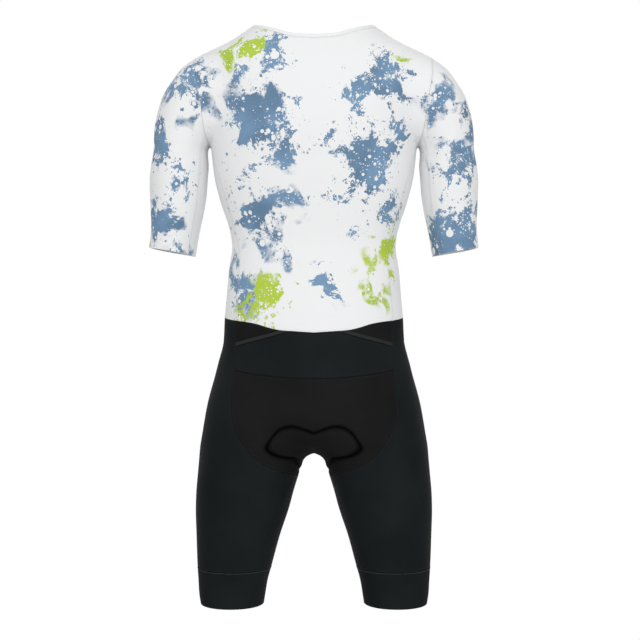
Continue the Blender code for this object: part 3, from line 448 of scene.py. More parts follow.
def slope(points, step=0.4):
    """The direction in which the form's distance grows, and how fast it does."""
    parts = []
    for axis in range(3):
        shift = np.zeros(3)
        shift[axis] = step
        parts.append((form(points + shift) - form(points - shift)) / (2 * step))
    rise = np.stack(parts, -1)
    length = np.maximum(np.linalg.norm(rise, axis=-1, keepdims=True), LEAST_SLOPE)
    return rise / length, length[..., 0]


def settle(points):
    """Points moved square onto the form's surface: back along its slope by distance over rate."""
    for _ in range(SETTLINGS):
        way, rate = slope(points)
        points = points - way * (form(points) / rate)[..., None]
    return points


def around(out, turn, height):
    """Start points on an upright axis and the level ways out of it at the given turns."""
    turn = np.radians(turn)
    start = np.stack([out + 0 * turn, 0 * turn, height + 0 * turn], -1)
    way = np.stack([np.sin(turn), -np.cos(turn), 0 * turn], -1)
    return start, way


def reach_of(level, start, way):
    """How far a limb by itself reaches from its axis, which lies inside it, found by halving."""
    near, far = np.zeros(start.shape[:-1]), np.full(start.shape[:-1], 2.0 * REACH)
    for _ in range(HALVINGS):
        middle = (near + far) / 2
        at = start + middle[..., None] * way
        inside = level(at[..., 0], at[..., 1], at[..., 2]) < 1
        near, far = np.where(inside, middle, near), np.where(inside, far, middle)
    return near


def trunk_points(turn, height):
    """Points on the trunk at given turns and heights, kept off the arms and thighs."""
    start, way = around(0.0, turn, height)
    spare = np.interp(height, *TRUNK_SPARE)
    return settle(cast(start, way, reach_of(trunk_level, start, way) + spare))


def arm_points(turn, height):
    """Points on the right upper arm, at turns about its own middle line, kept off the trunk."""
    start, way = around(read_rows(ARM, height)[0], turn, height)
    spare = np.interp(height, *ARM_SPARE)
    return settle(cast(start, way, reach_of(arm_level, start, way) + spare))


def leg_points(turn, height):
    """Points on the right thigh, at turns about its own middle line."""
    start, way = around(read_rows(LEG, height)[0], turn, height)
    return cast(start, way, REACH)


def unrolled(points, out):
    """The turns and heights of a run of points about an upright axis, with no jump at 360."""
    turn = np.degrees(np.arctan2(points[:, 0] - out, -points[:, 1]))
    return np.stack([np.unwrap(turn, period=360), points[:, 2]], -1)


def spanned(bottom, top, left, right):
    """A grid of turns and heights that runs evenly between its four edges.

    Each point is its place between bottom and top plus its place between left and right, less its
    place between the four corners.
    """
    across = np.linspace(0, 1, len(bottom))[None, :, None]
    up = np.linspace(0, 1, len(left))[:, None, None]
    between = (1 - up) * bottom[None] + up * top[None] + (1 - across) * left[:, None]
    between = between + across * right[:, None]
    low = (1 - across) * bottom[0] + across * bottom[-1]
    high = (1 - across) * top[0] + across * top[-1]
    return between - (1 - up) * low - up * high


def panel(bottom, top, left, right):
    """A grid of points on the trunk between four edges whose points it keeps."""
    grid = spanned(*(unrolled(edge, 0) for edge in (bottom, top, left, right)))
    points = trunk_points(grid[..., 0], grid[..., 1])
    points[0], points[-1], points[:, 0], points[:, -1] = bottom, top, left, right
    return points


def trunk_seam(table, start, end, count):
    """A seam round the trunk from one turn to another."""
    turn = steps(start, end, count)
    return trunk_points(turn, smooth(table, turn)[:, 0])


def side_seam(column, start, end, count, closing=1.0):
    """A side seam between two heights: column 0 is the back one and 1 the front one.

    Its points are evenly spaced if closing is 1, and closer and closer together if it is more.
    """
    height = start + (end - start) * (1 - (1 - steps(0, 1, count)) ** closing)
    return trunk_points(smooth(SIDE_SEAM, height)[:, column], height)


def armhole(start, end, count):
    """A stretch of the armhole, cast square to the side from its centre."""
    angle = steps(start, end, count)
    out = smooth(ARMHOLE, angle)[:, 0]
    centre = np.stack([out, 0 * out, ARMHOLE_CENTRE + 0 * out], -1)
    turn = np.radians(angle)
    way = np.stack([0 * turn, -np.sin(turn), np.cos(turn)], -1)
    return cast(centre, way, REACH)


def pulled(points, edges, gap):
    """A grid with the named edges moved in along the form, towards their neighbours.

    Each point moves by the gap, or by half the room to the next line where that is less.
    """
    points = points.copy()
    lines = {
        "bottom": ((0,), (1,)),
        "top": ((-1,), (-2,)),
        "left": ((slice(None), 0), (slice(None), 1)),
        "right": ((slice(None), -1), (slice(None), -2)),
    }
    for edge in edges:
        rim, inner = lines[edge]
        inwards = points[inner] - points[rim]
        way = sideways(points[rim])
        room = np.sum(way * inwards, -1, keepdims=True)
        points[rim] += way * np.sign(room) * np.minimum(gap, np.abs(room) / 2)
    return points


def sideways(line):
    """The ways square to a line that lie along the form."""
    way = np.cross(slope(line, LIFT_STEP)[0], np.gradient(line, axis=0))
    return way / np.maximum(np.linalg.norm(way, axis=-1, keepdims=True), TINY)


def creased(points):
    """How far the cloth stands out in its creases.

    Each crease is a bell across its line, height times e to the minus (distance over width)
    squared, and fades to nothing towards both its ends.  Both halves of the suit have them all.
    """
    at = points * np.where(points[..., :1] < 0, (-1, 1, 1), (1, 1, 1))
    rise = np.zeros(points.shape[:-1])
    for start, end, width, height in CREASES:
        start, run = np.array(start, float), np.subtract(end, start).astype(float)
        share = np.sum((at - start) * run, -1) / np.sum(run * run)
        off = at - start - np.clip(share, 0, 1)[..., None] * run
        bell = np.exp(-np.sum(off * off, -1) / width ** 2)
        rise += height * bell * np.sin(np.pi * np.clip(share, 0, 1))
    return rise


def splashed(points, splashes):
    """How thickly the print lies at each point: the strongest splash's bell there."""
    cover = np.zeros(len(points))
    for centre, radius, strength in splashes:
        off = points - np.array(centre, float)
        bell = strength * np.exp(-np.sum(off * off, -1) / radius ** 2)
        cover = np.maximum(cover, bell)
    return cover


def cloth_lines(grid):
    """Distances across and along the cloth for a grid's points: its mean steps added up."""
    across = np.linalg.norm(np.diff(grid, axis=1), axis=-1).mean(0)
    along = np.linalg.norm(np.diff(grid, axis=0), axis=-1).mean(1)
    u = np.concatenate([[0], np.cumsum(across)])
    v = np.concatenate([[0], np.cumsum(along)])
    return np.stack(np.broadcast_arrays(u[None], v[:, None]), -1)


def weld(points):
    """Which points to keep of those within a micron of each other, and each one's new number."""
    keys = np.round(points / MICRON + OFF_GRID).astype(np.int64)
    _, kept, joined = np.unique(keys, axis=0, return_index=True, return_inverse=True)
    return kept, joined.ravel()


def squares(grids):
    """Welded points, squares of four corners, and each corner's place on the cloth."""
    faces, places, first = [], [], 0
    for grid in grids:
        rows, columns = grid.shape[:2]
        at = first + np.arange(rows * columns).reshape(rows, columns)
        here = cloth_lines(grid)
        low, high = slice(None, -1), slice(1, None)
        corners = ((low, low), (low, high), (high, high), (high, low))
        faces.append(np.stack([at[corner] for corner in corners], -1).reshape(-1, 4))
        places.append(np.stack([here[corner] for corner in corners], -2).reshape(-1, 4, 2))
        first += rows * columns
    points = np.concatenate([grid.reshape(-1, 3) for grid in grids])
    kept, joined = weld(points)
    return points[kept], joined[np.concatenate(faces)], np.concatenate(places)


def made_mesh(name, points, faces, finish, sharp=40):
    """A smooth-shaded object from points in millimetres and faces of four corners."""
    mesh = bpy.data.meshes.new(name)
    mesh.from_pydata((points * MM).tolist(), [], faces.tolist())
    mesh.materials.append(finish)
    mesh.shade_smooth()
    mesh.set_sharp_from_angle(angle=math.radians(sharp))
    made = bpy.data.objects.new(name, mesh)
    bpy.context.scene.collection.objects.link(made)
    return made


def outwards(points, faces):
    """A closed mesh with its faces turned over if the volume it holds comes out negative."""
    a, b, c, d = (points[faces[:, k]] for k in range(4))
    volume = np.sum(a * np.cross(b, c)) + np.sum(a * np.cross(c, d))
    return points, faces[:, ::-1] if volume < 0 else faces


def laid_flat(piece, corners):
    """Gives each corner of a piece's faces its place on the cloth, in millimetres."""
    uv = piece.data.uv_layers.new(name="cloth")
    uv.data.foreach_set("uv", (corners * MM).astype(np.float32).ravel())


def on_body(piece, nodes):
    """The piece rides on the suit and stands for its nodes, which are hidden."""
    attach(piece, "suit")
    if nodes:
        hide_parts(*nodes)
    return piece


def cloth(name, grids, finish, wall):
    """A piece of cloth: a grid's sheet given two skins and a rim.

    A skin's point is the sheet's point plus the form's outward way times (crease + wall), where
    wall is how far that skin lies off the form.
    """
    points, faces, places = squares(grids)
    way = slope(points, LIFT_STEP)[0]
    first = points[faces[:, 1]] - points[faces[:, 0]]
    normals = np.cross(first, points[faces[:, 2]] - points[faces[:, 0]])
    if np.sum(normals * way[faces[:, 0]]) < 0:
        faces, places = faces[:, ::-1], places[:, ::-1]
    count = len(points)
    edges = np.concatenate([faces[:, [k, (k + 1) % 4]] for k in range(4)])
    on_edges = np.concatenate([places[:, [k, (k + 1) % 4]] for k in range(4)])
    ends = np.sort(edges, 1)
    _, at, seen = np.unique(ends[:, 0] * count + ends[:, 1], return_index=True, return_counts=True)
    rim, on_rim = edges[at[seen == 1]], on_edges[at[seen == 1]]
    rise = creased(points)
    inner, outer = (np.broadcast_to(side, (count,)) for side in wall)
    skins = np.concatenate([
        points + way * (rise + outer)[:, None], points + way * (rise + inner)[:, None],
    ])
    around_rim = np.stack([rim[:, 1], rim[:, 0], rim[:, 0] + count, rim[:, 1] + count], 1)
    walls = np.concatenate([faces, faces[:, ::-1] + count, around_rim])
    piece = made_mesh(name, skins, walls, finish)
    piece["worn"] = worn_size(grids)
    along_rim = np.stack([on_rim[:, 1], on_rim[:, 0], on_rim[:, 0], on_rim[:, 1]], 1)
    laid_flat(piece, np.concatenate([places, places[:, ::-1], along_rim]))
    return piece


def dressed(node, grids, finish, wall):
    """The cloth that stands for one node."""
    return on_body(cloth(node + "_cloth", grids, finish, wall), [node])


def worn_size(grids):
    """The longest row, the longest columns end to end and the area of cloth, in metres."""
    across = max(np.linalg.norm(np.diff(grid, axis=1), axis=-1).sum(1).max() for grid in grids)
    along = sum(np.linalg.norm(np.diff(grid, axis=0), axis=-1).sum(0).max() for grid in grids)
    area = 0.0
    for grid in grids:
        first = grid[1:, 1:] - grid[:-1, :-1]
        area += np.linalg.norm(np.cross(first, grid[1:, :-1] - grid[:-1, 1:]), axis=-1).sum() / 2
    return [across * MM, along * MM, area * MM * MM]


def printed(piece, shift, inside_bare=True):
    """Gives a white piece its place in the print: its own shift, and how thick the print is."""
    count = len(piece.data.vertices)
    points = np.empty(count * 3, np.float32)
    piece.data.vertices.foreach_get("co", points)
    points = points.reshape(-1, 3).astype(float)
    place = piece.data.attributes.new("pattern", "FLOAT_VECTOR", "POINT")
    place.data.foreach_set("vector", (points + shift).astype(np.float32).ravel())
    for name, splashes in (("blue", BLUE_SPLASHES), ("lime", LIME_SPLASHES)):
        thick = splashed(points / MM, splashes)
        if inside_bare:
            thick[count // 2:] = 0
        marked(piece, name, thick)
    return piece


def marked(piece, name, values):
    """Gives a piece a value for each of its points, for its material to read."""
    attribute = piece.data.attributes.new(name, "FLOAT", "POINT")
    attribute.data.foreach_set("value", values.astype(np.float32))


def whole(grid):
    """A grid that starts in the suit's middle, with its mirror image before it."""
    return np.concatenate([grid[:, :0:-1] * (-1, 1, 1), grid], 1)


def mirrored(grids):
    """The same grids for the suit's other half."""
    return [grid * (-1, 1, 1) for grid in grids]


def layer(thickness, start=None):
    """How far a layer's two skins lie off the form: astride it, or outwards from a start."""
    if start is None:
        return -thickness / 2, thickness / 2
    return start, start + thickness


@functools.lru_cache
def lines_of_the_suit():
    """Every seam that two pieces share, worked out once."""
    waist_back, waist_front = SIDE_SEAM[2][1:]
    waist_level, yoke_level, armpit_level = SIDE_SEAM[2][0], SIDE_SEAM[0][0], SIDE_SEAM[-1][0]
    back_end, front_end = SIDE_SEAM_ANGLES
    waist_end, neck_end = (180 - math.degrees(ZIP_HALF_WIDTH / depth) for depth in ZIP_DEPTHS)
    seams = {
        "neck_back": trunk_seam(NECK_SEAM, 0, SHOULDER_SEAM_TURN, BACK_COLUMNS),
        "neck_front": trunk_seam(NECK_SEAM, SHOULDER_SEAM_TURN, neck_end, FRONT_COLUMNS),
        "waist_back": trunk_seam(WAIST_SEAM, 0, waist_back, BACK_COLUMNS),
        "waist_side": trunk_seam(WAIST_SEAM, waist_back, waist_front, SIDE_COLUMNS),
        "waist_front": trunk_seam(WAIST_SEAM, waist_front, waist_end, FRONT_COLUMNS),
        "yoke": trunk_seam(YOKE_SEAM, 0, YOKE_SEAM[-1][0], BACK_COLUMNS),
        "side_back": side_seam(0, waist_level, armpit_level, SIDE_ROWS, SIDE_CLOSING),
        "side_front": side_seam(1, waist_level, armpit_level, SIDE_ROWS, SIDE_CLOSING),
        "side_low": side_seam(0, yoke_level, waist_level, HIP_ROWS),
        "armhole_back": armhole(back_end, SHOULDER_SEAM_ANGLE, ARMHOLE_ROWS),
        "armhole_under": armhole(back_end, front_end, SIDE_COLUMNS),
        "armhole_front": armhole(front_end, 360 + SHOULDER_SEAM_ANGLE, ARMHOLE_ROWS),
    }
    tip, neck = seams["armhole_back"][-1], seams["neck_back"][-1]
    height = steps(tip[2], neck[2], SHOULDER_ROWS)
    start_turn = np.degrees(np.arctan2(tip[0], -tip[1]))
    turn = np.linspace(start_turn, SHOULDER_SEAM_TURN, SHOULDER_ROWS + 1)
    seams["shoulder"] = trunk_points(turn, height)
    seams["shoulder"][0], seams["shoulder"][-1] = tip, neck
    for seam, corner, at in (
        ("side_back", seams["waist_back"][-1], 0),
        ("side_back", seams["armhole_back"][0], -1),
        ("side_front", seams["waist_front"][0], 0),
        ("side_front", seams["armhole_front"][0], -1),
        ("side_low", seams["waist_back"][-1], -1),
        ("side_low", seams["yoke"][-1], 0),
    ):
        seams[seam][at] = corner
    return seams


def trunk_edge(seams, side):
    """The whole edge of the back (side "back") or the front, from waist to neck."""
    parts = (seams["side_" + side], seams["armhole_" + side][1:], seams["shoulder"][1:])
    return np.concatenate(parts)


def row_heights(low, high):
    """Heights down the suit's middle for the rows of a trunk edge, level at the shoulder tip."""
    rows = np.cumsum((0, SIDE_ROWS, ARMHOLE_ROWS, SHOULDER_ROWS))
    return np.interp(np.arange(rows[-1] + 1), rows, (low, CHEST_LEVEL, high - TIP_DROP, high))


def zip_line(seams, out):
    """A line down the front, a little out from the middle, with a point for each row."""
    height = row_heights(seams["waist_front"][-1, 2], seams["neck_front"][-1, 2])
    start = np.stack([out + 0 * height, 0 * height, height], -1)
    return cast(start, FORWARDS, REACH)


def back_grid(seams, gap):
    """The back, between its middle line, the waist, the right edge and the neck, and mirrored."""
    edge = trunk_edge(seams, "back")
    height = row_heights(seams["waist_back"][0, 2], seams["neck_back"][0, 2])
    middle = trunk_points(0 * height, height)
    grid = panel(seams["waist_back"], seams["neck_back"], middle, edge)
    grid = pulled(grid, ("bottom", "top", "right"), gap / 2)
    grid[:, 0, 0] = 0
    return whole(grid)


def front_grids(seams, gap):
    """The right front's grid and its zip tape's."""
    inner = zip_line(seams, ZIP_HALF_WIDTH)
    inner[0], inner[-1] = seams["waist_front"][-1], seams["neck_front"][-1]
    grid = panel(seams["waist_front"], seams["neck_front"], trunk_edge(seams, "front"), inner)
    grid = pulled(grid, ("bottom", "top", "left", "right"), gap / 2)
    middle = zip_line(seams, ZIP_OPENING / 2)
    share = np.linspace(0, 1, TAPE_LINES)[None, :, None]
    strip = settle(inner[:, None] * (1 - share) + middle[:, None] * share)
    strip = pulled(strip, ("bottom", "top"), TAPE_INSET)
    return grid, pulled(strip, ("left",), gap / 2)


def side_grid(seams, gap):
    """The right side panel, between the waist, two side seams and the armhole's foot."""
    grid = panel(
        seams["waist_side"], seams["armhole_under"], seams["side_back"], seams["side_front"]
    )
    return pulled(grid, ("bottom", "top", "left", "right"), gap / 2)


def ring(turn, height):
    """Turns and heights of a tilted ring round an arm: height is its middle and its rise out."""
    middle, rise = height
    return np.stack([turn, middle + rise * np.sin(np.radians(turn))], -1)


@functools.lru_cache
def sleeve_tube():
    """The sleeve as one tube of points from the armhole to the hem."""
    seams = lines_of_the_suit()
    hole = np.concatenate(
        [seams["armhole_back"][::-1], seams["armhole_under"][1:], seams["armhole_front"][1:]]
    )
    back_end, front_end = SIDE_SEAM_ANGLES
    angle = np.concatenate([
        steps(SHOULDER_SEAM_ANGLE, back_end, ARMHOLE_ROWS),
        steps(back_end, front_end, SIDE_COLUMNS)[1:],
        steps(front_end, 360 + SHOULDER_SEAM_ANGLE, ARMHOLE_ROWS)[1:],
    ])
    turn = smooth(SLEEVE_TURNS, angle)[:, 0]
    top = unrolled(hole, read_rows(ARM, hole[:, 2])[0])
    elbow, hem = ring(turn, ELBOW_RING), ring(turn, SLEEVE_HEM)
    cap = [top + (elbow - top) * s for s in steps(0, 1, SLEEVE_CAP_ROWS)]
    rest = [elbow + (hem - elbow) * s for s in steps(0, 1, SLEEVE_ROWS)[1:]]
    grid = np.stack(cap + rest)
    points = arm_points(grid[..., 0], grid[..., 1])
    points[0] = hole
    points[:, -1] = points[:, 0]
    return points


def lower_back_grid(seams, gap):
    """The inner lower back's right half, between the yoke seam, the side seam and the waist."""
    height = np.linspace(seams["yoke"][0, 2], seams["waist_back"][0, 2], HIP_ROWS + 1)
    middle = trunk_points(0 * height, height)
    grid = panel(seams["yoke"], seams["waist_back"], middle, seams["side_low"])
    grid = pulled(grid, ("bottom", "top", "right"), gap / 2)
    grid[:, 0, 0] = 0
    return grid


def sampled(grid, row, column):
    """Points of a grid between its own, at fractional rows and columns."""
    i = np.clip(row.astype(int), 0, grid.shape[0] - 2)
    j = np.clip(column.astype(int), 0, grid.shape[1] - 2)
    up, over = (row - i)[..., None], (column - j)[..., None]
    low = grid[i, j] * (1 - over) + grid[i, j + 1] * over
    high = grid[i + 1, j] * (1 - over) + grid[i + 1, j + 1] * over
    return low * (1 - up) + high * up


def pocket_lines(lower, column):
    """Heights of the pocket's top edge and of the bound mouth above it, by table column."""
    at = column * (lower.shape[1] - 1) / BACK_TABLE
    high = np.interp(at, np.arange(lower.shape[1]), lower[-1, :, 2]) - MOUTH_CLEAR
    inner = np.interp(MOUTH_COLUMN, column, high)
    run = (column - MOUTH_COLUMN) / (BACK_TABLE - MOUTH_COLUMN)
    mouth = np.where(column < MOUTH_COLUMN, high, inner + run * (MOUTH_END - inner))
    inner = np.interp(MOUTH_COLUMN - 1, column, high)
    run = (column - MOUTH_COLUMN + 1) / (BACK_TABLE - MOUTH_COLUMN + 1)
    edge = np.minimum(high, inner + run * (MOUTH_END - POCKET_BINDING - inner))
    mouth = np.minimum(high, mouth)
    return np.minimum(edge, mouth - LEAST_BINDING), mouth


def grid_rows(lower, column, height):
    """The lower back's fractional rows at which its columns have the given heights."""
    at = column * (lower.shape[1] - 1) / BACK_TABLE
    line = np.arange(lower.shape[1])
    low, high = (np.interp(at, line, lower[k, :, 2]) for k in (0, -1))
    return (height - low) / (high - low) * (lower.shape[0] - 1), at


@functools.lru_cache
def seat_table():
    """The seat's right half, with the table row and column of each of its lines.

    Row by row its points run from the middle line to the edge, in shares of that way, with the
    pad's columns closer together or farther apart as it fills more or less of the seat.
    """
    row = steps(0, TIP_ROW - TIP_CUT, TIP_ROW * SEAT_STEPS)
    column = steps(0, SEAT_WIDTH, SEAT_WIDTH * SEAT_LINES)
    rows = smooth(SEAT, row)
    turn = np.radians(rows[:, 0])
    centre = np.tile((0.0, 0.0, SEAT_PIVOT), (len(turn), 1))
    way = np.stack([0 * turn, -np.cos(turn), -np.sin(turn)], -1)
    middle = cast(centre, way, REACH)
    edge = settle(rows[:, 1:])
    yoke = trunk_seam(YOKE_SEAM, 0, YOKE_SEAM[-1][0], YOKE_STEPS)
    middle[0], edge[0] = yoke[0], yoke[-1]
    fill = smooth(PAD_FILL, row)
    inside = fill * column / PAD_COLUMNS
    outside = fill + (1 - fill) * (column - PAD_COLUMNS) / (SEAT_WIDTH - PAD_COLUMNS)
    share = np.where(column <= PAD_COLUMNS, inside, outside)[..., None]
    grid = middle[:, None] + share * (edge - middle)[:, None]
    lobe = np.sin(np.pi * np.minimum(share[..., 0] / fill, 1))
    grid[..., 2] += LOBE_RISE * lobe * np.exp(-((row[:, None] - PAD_START) / LOBE_ROWS) ** 2)
    drop = np.interp(grid[0, :, 0], yoke[:, 0], yoke[:, 2]) - grid[0, :, 2]
    grid[..., 2] += drop * np.clip(1 - row[:, None] / 2, 0, 1) ** 2
    grid = settle(grid)
    grid[:, -1], grid[:, 0] = edge, middle
    grid[0] = np.stack([np.interp(grid[0, :, 0], yoke[:, 0], yoke[:, k]) for k in range(3)], -1)
    grid[:, 0, 0] = 0
    return grid, row, column


def inside_pad(grid, row, column):
    """How far inside the pad's outline each point of the seat is, in millimetres.

    The outline is the pad's first row, its outer column and its last row.  Distances to them are
    added like the legs of a right angle near a corner, which rounds it.
    """
    across = np.linalg.norm(np.diff(grid, axis=1), axis=-1).mean(1)[:, None] * SEAT_LINES
    along = np.linalg.norm(np.diff(grid, axis=0), axis=-1).mean(1)
    down = np.interp(row, (row[1:] + row[:-1]) / 2, along)[:, None] * SEAT_STEPS
    side = (PAD_COLUMNS - column)[None] * across
    start = (row - PAD_START)[:, None] * down
    end = (PAD_END - row)[:, None] * down
    radius = np.minimum(LOBE_ROUNDING, across * PAD_COLUMNS * 0.5)
    deep = np.minimum(side, start)
    corner = radius - np.hypot(np.maximum(radius - side, 0), np.maximum(radius - start, 0))
    both = (side < radius) & (start < radius)
    return np.minimum(np.where(both, corner, deep), end)


def hip_and_thigh(seams, gap):
    """The leg's upper panel and its tube, and the turns of the tube's lines at the band.

    The panel lies on the trunk above a line that eases from the seat's edge down to its tip.  The
    tube runs straight, in turn and height, from that line and the rest of the seat's edge to the
    band's seam, where its turns are halfway between the start's own and even ones.
    """
    table, row, _ = seat_table()
    join_at = HIP_JOIN * ROWS_ABOVE
    under = (TIP_ROW - HIP_JOIN) * ROWS_BELOW
    at = np.concatenate([steps(0, HIP_JOIN, join_at), steps(HIP_JOIN, TIP_ROW, under)[1:]])
    edge = np.stack([np.interp(at, row, table[:, -1, k]) for k in range(3)], -1)
    edge = settle(edge)
    tip = np.array(SEAT[-1][2:], float)
    tip = settle(tip[None])[0]
    tip[0] = 0
    edge[-1] = tip
    corner = edge[join_at]
    waist_end = np.array([[0.0, seams["waist_front"][-1, 1], WAIST_SEAM[-1][1]]])
    top = np.concatenate([seams["waist_side"], seams["waist_front"][1:], waist_end])
    back = np.concatenate([edge[join_at:0:-1], seams["side_low"]])
    turn = np.linspace(np.degrees(np.arctan2(corner[0], -corner[1])), 180, len(top))
    height = corner[2] + eased((turn - turn[0]) / (180 - turn[0])) * (tip[2] - corner[2])
    hip = trunk_points(turn, height)
    hip[0], hip[-1] = corner, tip
    height = steps(tip[2], waist_end[0, 2], len(back) - 1)
    front = trunk_points(180 + 0 * height, height)
    front[:, 0] = 0
    front[0], front[-1] = tip, waist_end[0]
    upper = pulled(panel(hip, top, back, front), ("top", "left", "right"), gap / 2)

    rim = np.concatenate([hip, edge[-2:join_at - 1:-1]])
    start = unrolled(rim, read_rows(LEG, rim[:, 2])[0])
    even = np.linspace(start[0, 0], start[0, 0] + 360, len(start))
    turn = (start[:, 0] + even) / 2
    turn[-1] = turn[0] + 360
    seam = np.stack([turn, BAND_SEAM + 0 * turn], -1)
    rows = np.stack([seam + (start - seam) * s for s in steps(0, 1, THIGH_ROWS)])
    tube = leg_points(rows[..., 0], rows[..., 1])
    tube[..., 0] = np.maximum(tube[..., 0], LEAST_LEG_X)
    tube[-1] = rim
    tube[:, -1] = tube[:, 0]
    thigh = pulled(tube, ("bottom", "top"), gap / 2)
    thigh[-1, :len(hip)] = upper[0]
    thigh[:, -1] = thigh[:, 0]
    return upper, thigh, turn


def leg_band_grid(turn, gap):
    """The right leg's band: level rings of the thigh at the leg's own turns."""
    height = steps(LEG_HEM, BAND_SEAM, BAND_ROWS)[:, None]
    band = leg_points(turn[None] + 0 * height, height + 0 * turn[None])
    band[:, -1] = band[:, 0]
    return pulled(band, ("top",), gap / 2)


# Materials.

RIDGE_SCALE = 0.3142  # a wave texture's scale for ridges a metre apart
COURSE_PITCH = 0.75  # of a knit's loops along the cloth, over their pitch across it


class Nodes:
    """Adds nodes to a tree.  An input is a value or another node's socket."""

    def __init__(self, tree):
        self.tree = tree

    def put(self, socket, value):
        """Links a socket to another, or sets its value."""
        if isinstance(value, bpy.types.NodeSocket):
            self.tree.links.new(value, socket)
        else:
            socket.default_value = value

    def add(self, kind, inputs=(), out=0, **settings):
        """A shader node with its settings made and its inputs filled, as one of its outputs."""
        made = self.tree.nodes.new("ShaderNode" + kind)
        for name, value in settings.items():
            setattr(made, name, value)
        for key, value in dict(inputs).items():
            self.put(made.inputs[key], value)
        return made.outputs[out]

    def calc(self, operation, first, second):
        """One sum of two values."""
        return self.add("Math", {0: first, 1: second}, operation=operation)

    def times(self, first, second):
        """The first times the second."""
        return self.calc("MULTIPLY", first, second)

    def plus(self, first, second):
        """The first plus the second."""
        return self.calc("ADD", first, second)

    def most(self, first, *others):
        """The largest of several values."""
        for other in others:
            first = self.calc("MAXIMUM", first, other)
        return first

    def without(self, value, other):
        """A value where the other is 0, and nothing where it is 1."""
        return self.times(value, self.calc("SUBTRACT", 1.0, other))

    def ramped(self, value, low, high):
        """0 below low, 1 above high, and eased between."""
        inputs = {"Value": value, "From Min": low, "From Max": high}
        return self.add("MapRange", inputs, interpolation_type="SMOOTHSTEP")

    def mixed(self, share, first, second):
        """The first colour where the share is 0, the second where it is 1."""
        return self.add("Mix", {0: share, 6: first, 7: second}, 2, data_type="RGBA")

    def noise(self, place, scale, detail=2.0, **more):
        """Soft noise from 0 to 1: scale is how many lumps to the metre."""
        inputs = {"Vector": place, "Scale": scale, "Detail": detail, **more}
        return self.add("TexNoise", inputs, "Fac")

    def ridges(self, pitch, way):
        """Even ridges on the cloth, a pitch apart in metres: way is the way across them."""
        place = self.add("UVMap", uv_map="cloth")
        inputs = {"Vector": place, "Scale": RIDGE_SCALE / pitch}
        return self.add("TexWave", inputs, "Fac", bands_direction=way)

    def place(self):
        """Where a point is in its object, in metres."""
        return self.add("TexCoord", out="Object")

    def value(self, name):
        """A value that the mesh holds for each point or corner."""
        return self.add("Attribute", out="Fac", attribute_name=name)


class Finish(Nodes):
    """A new material.  What is the same all over it is set on its shader's own sockets."""

    def __init__(self, name, roughness, specular=None, sheen=None):
        self.made = bpy.data.materials.new(name)
        self.made.use_nodes = True
        super().__init__(self.made.node_tree)
        self.sockets = self.tree.nodes["Principled BSDF"].inputs
        self.put(self.sockets["Roughness"], roughness)
        if specular is not None:
            self.sockets["Specular IOR Level"].default_value = specular
        if sheen:
            weight, rough = sheen
            self.sockets["Sheen Weight"].default_value = weight
            self.sockets["Sheen Roughness"].default_value = rough

    def done(self, colour, height=None, depth=0.0, strength=0.0):
        """The material with its colour and, from a height and its depth in metres, its relief."""
        self.put(self.sockets["Base Color"], colour)
        if height is not None:
            inputs = {"Height": height, "Distance": depth, "Strength": strength}
            self.put(self.sockets["Normal"], self.add("Bump", inputs))
        return self.made

    def knitted(self, colour, pitch, depth):
        """Fine columns of loops in relief: two waves across and along the cloth, multiplied."""
        height = self.times(self.ridges(pitch, "X"), self.ridges(pitch * COURSE_PITCH, "Y"))
        return self.done(colour, height, depth, strength=0.35)


def colour_of(name):
    """One of the suit's colours."""
    return tuple(getattr(bpy.context.scene.suit_colours, name))


def toned(colour, *shares):
    """A colour times one share, or times one for each of its parts."""
    return tuple(np.array(colour[:3]) * shares) + (1,)


# The print.  A level is what rough noise plus the cover reaches; levels are eased between two.
SWELL = 0.33  # how much of the cover is added to the noise
BLOTCH_LEVELS = (0.682, 0.69)
NEAR_LEVELS = (0.57, 0.67)
HAZE_LEVELS = (0.61, 0.77)
HAZE_PATCHES = (0.5, 0.62)  # of the wide noise that says where there is haze
HAZE_INK = 0.8
GAP_LEVELS = (0.28, 0.56)  # of the noise that makes the gaps larger or smaller
COVER_LEVELS = (0.04, 0.15)  # of the cover, where ink starts and is full
ROUND_EDGE = 0.03  # over how much of its size a cell's round edge is eased
BLOTCH_LUMPS = 30.0  # lumps to the metre of each noise
GAP_LUMPS = 17.0
HAZE_LUMPS = 9.0
RAGGED = 0.45  # how far the blotches' noise is pushed about
ROUND_CELLS = (  # cells to the metre, how rare the big ones are, how full of it the biggest is
    (48.0, 2.6, 0.46),
    (105.0, 1.2, 0.46),
    (270.0, 1.1, 0.42),
)


INKS = (  # colour, place in the noise, levels of its shade, and that shade's tone
    ("blue", 0.31, 0.36, 0.66, (0.68,)),
    ("lime", 1.73, 0.4, 0.7, (0.8, 0.86, 0.7)),
)


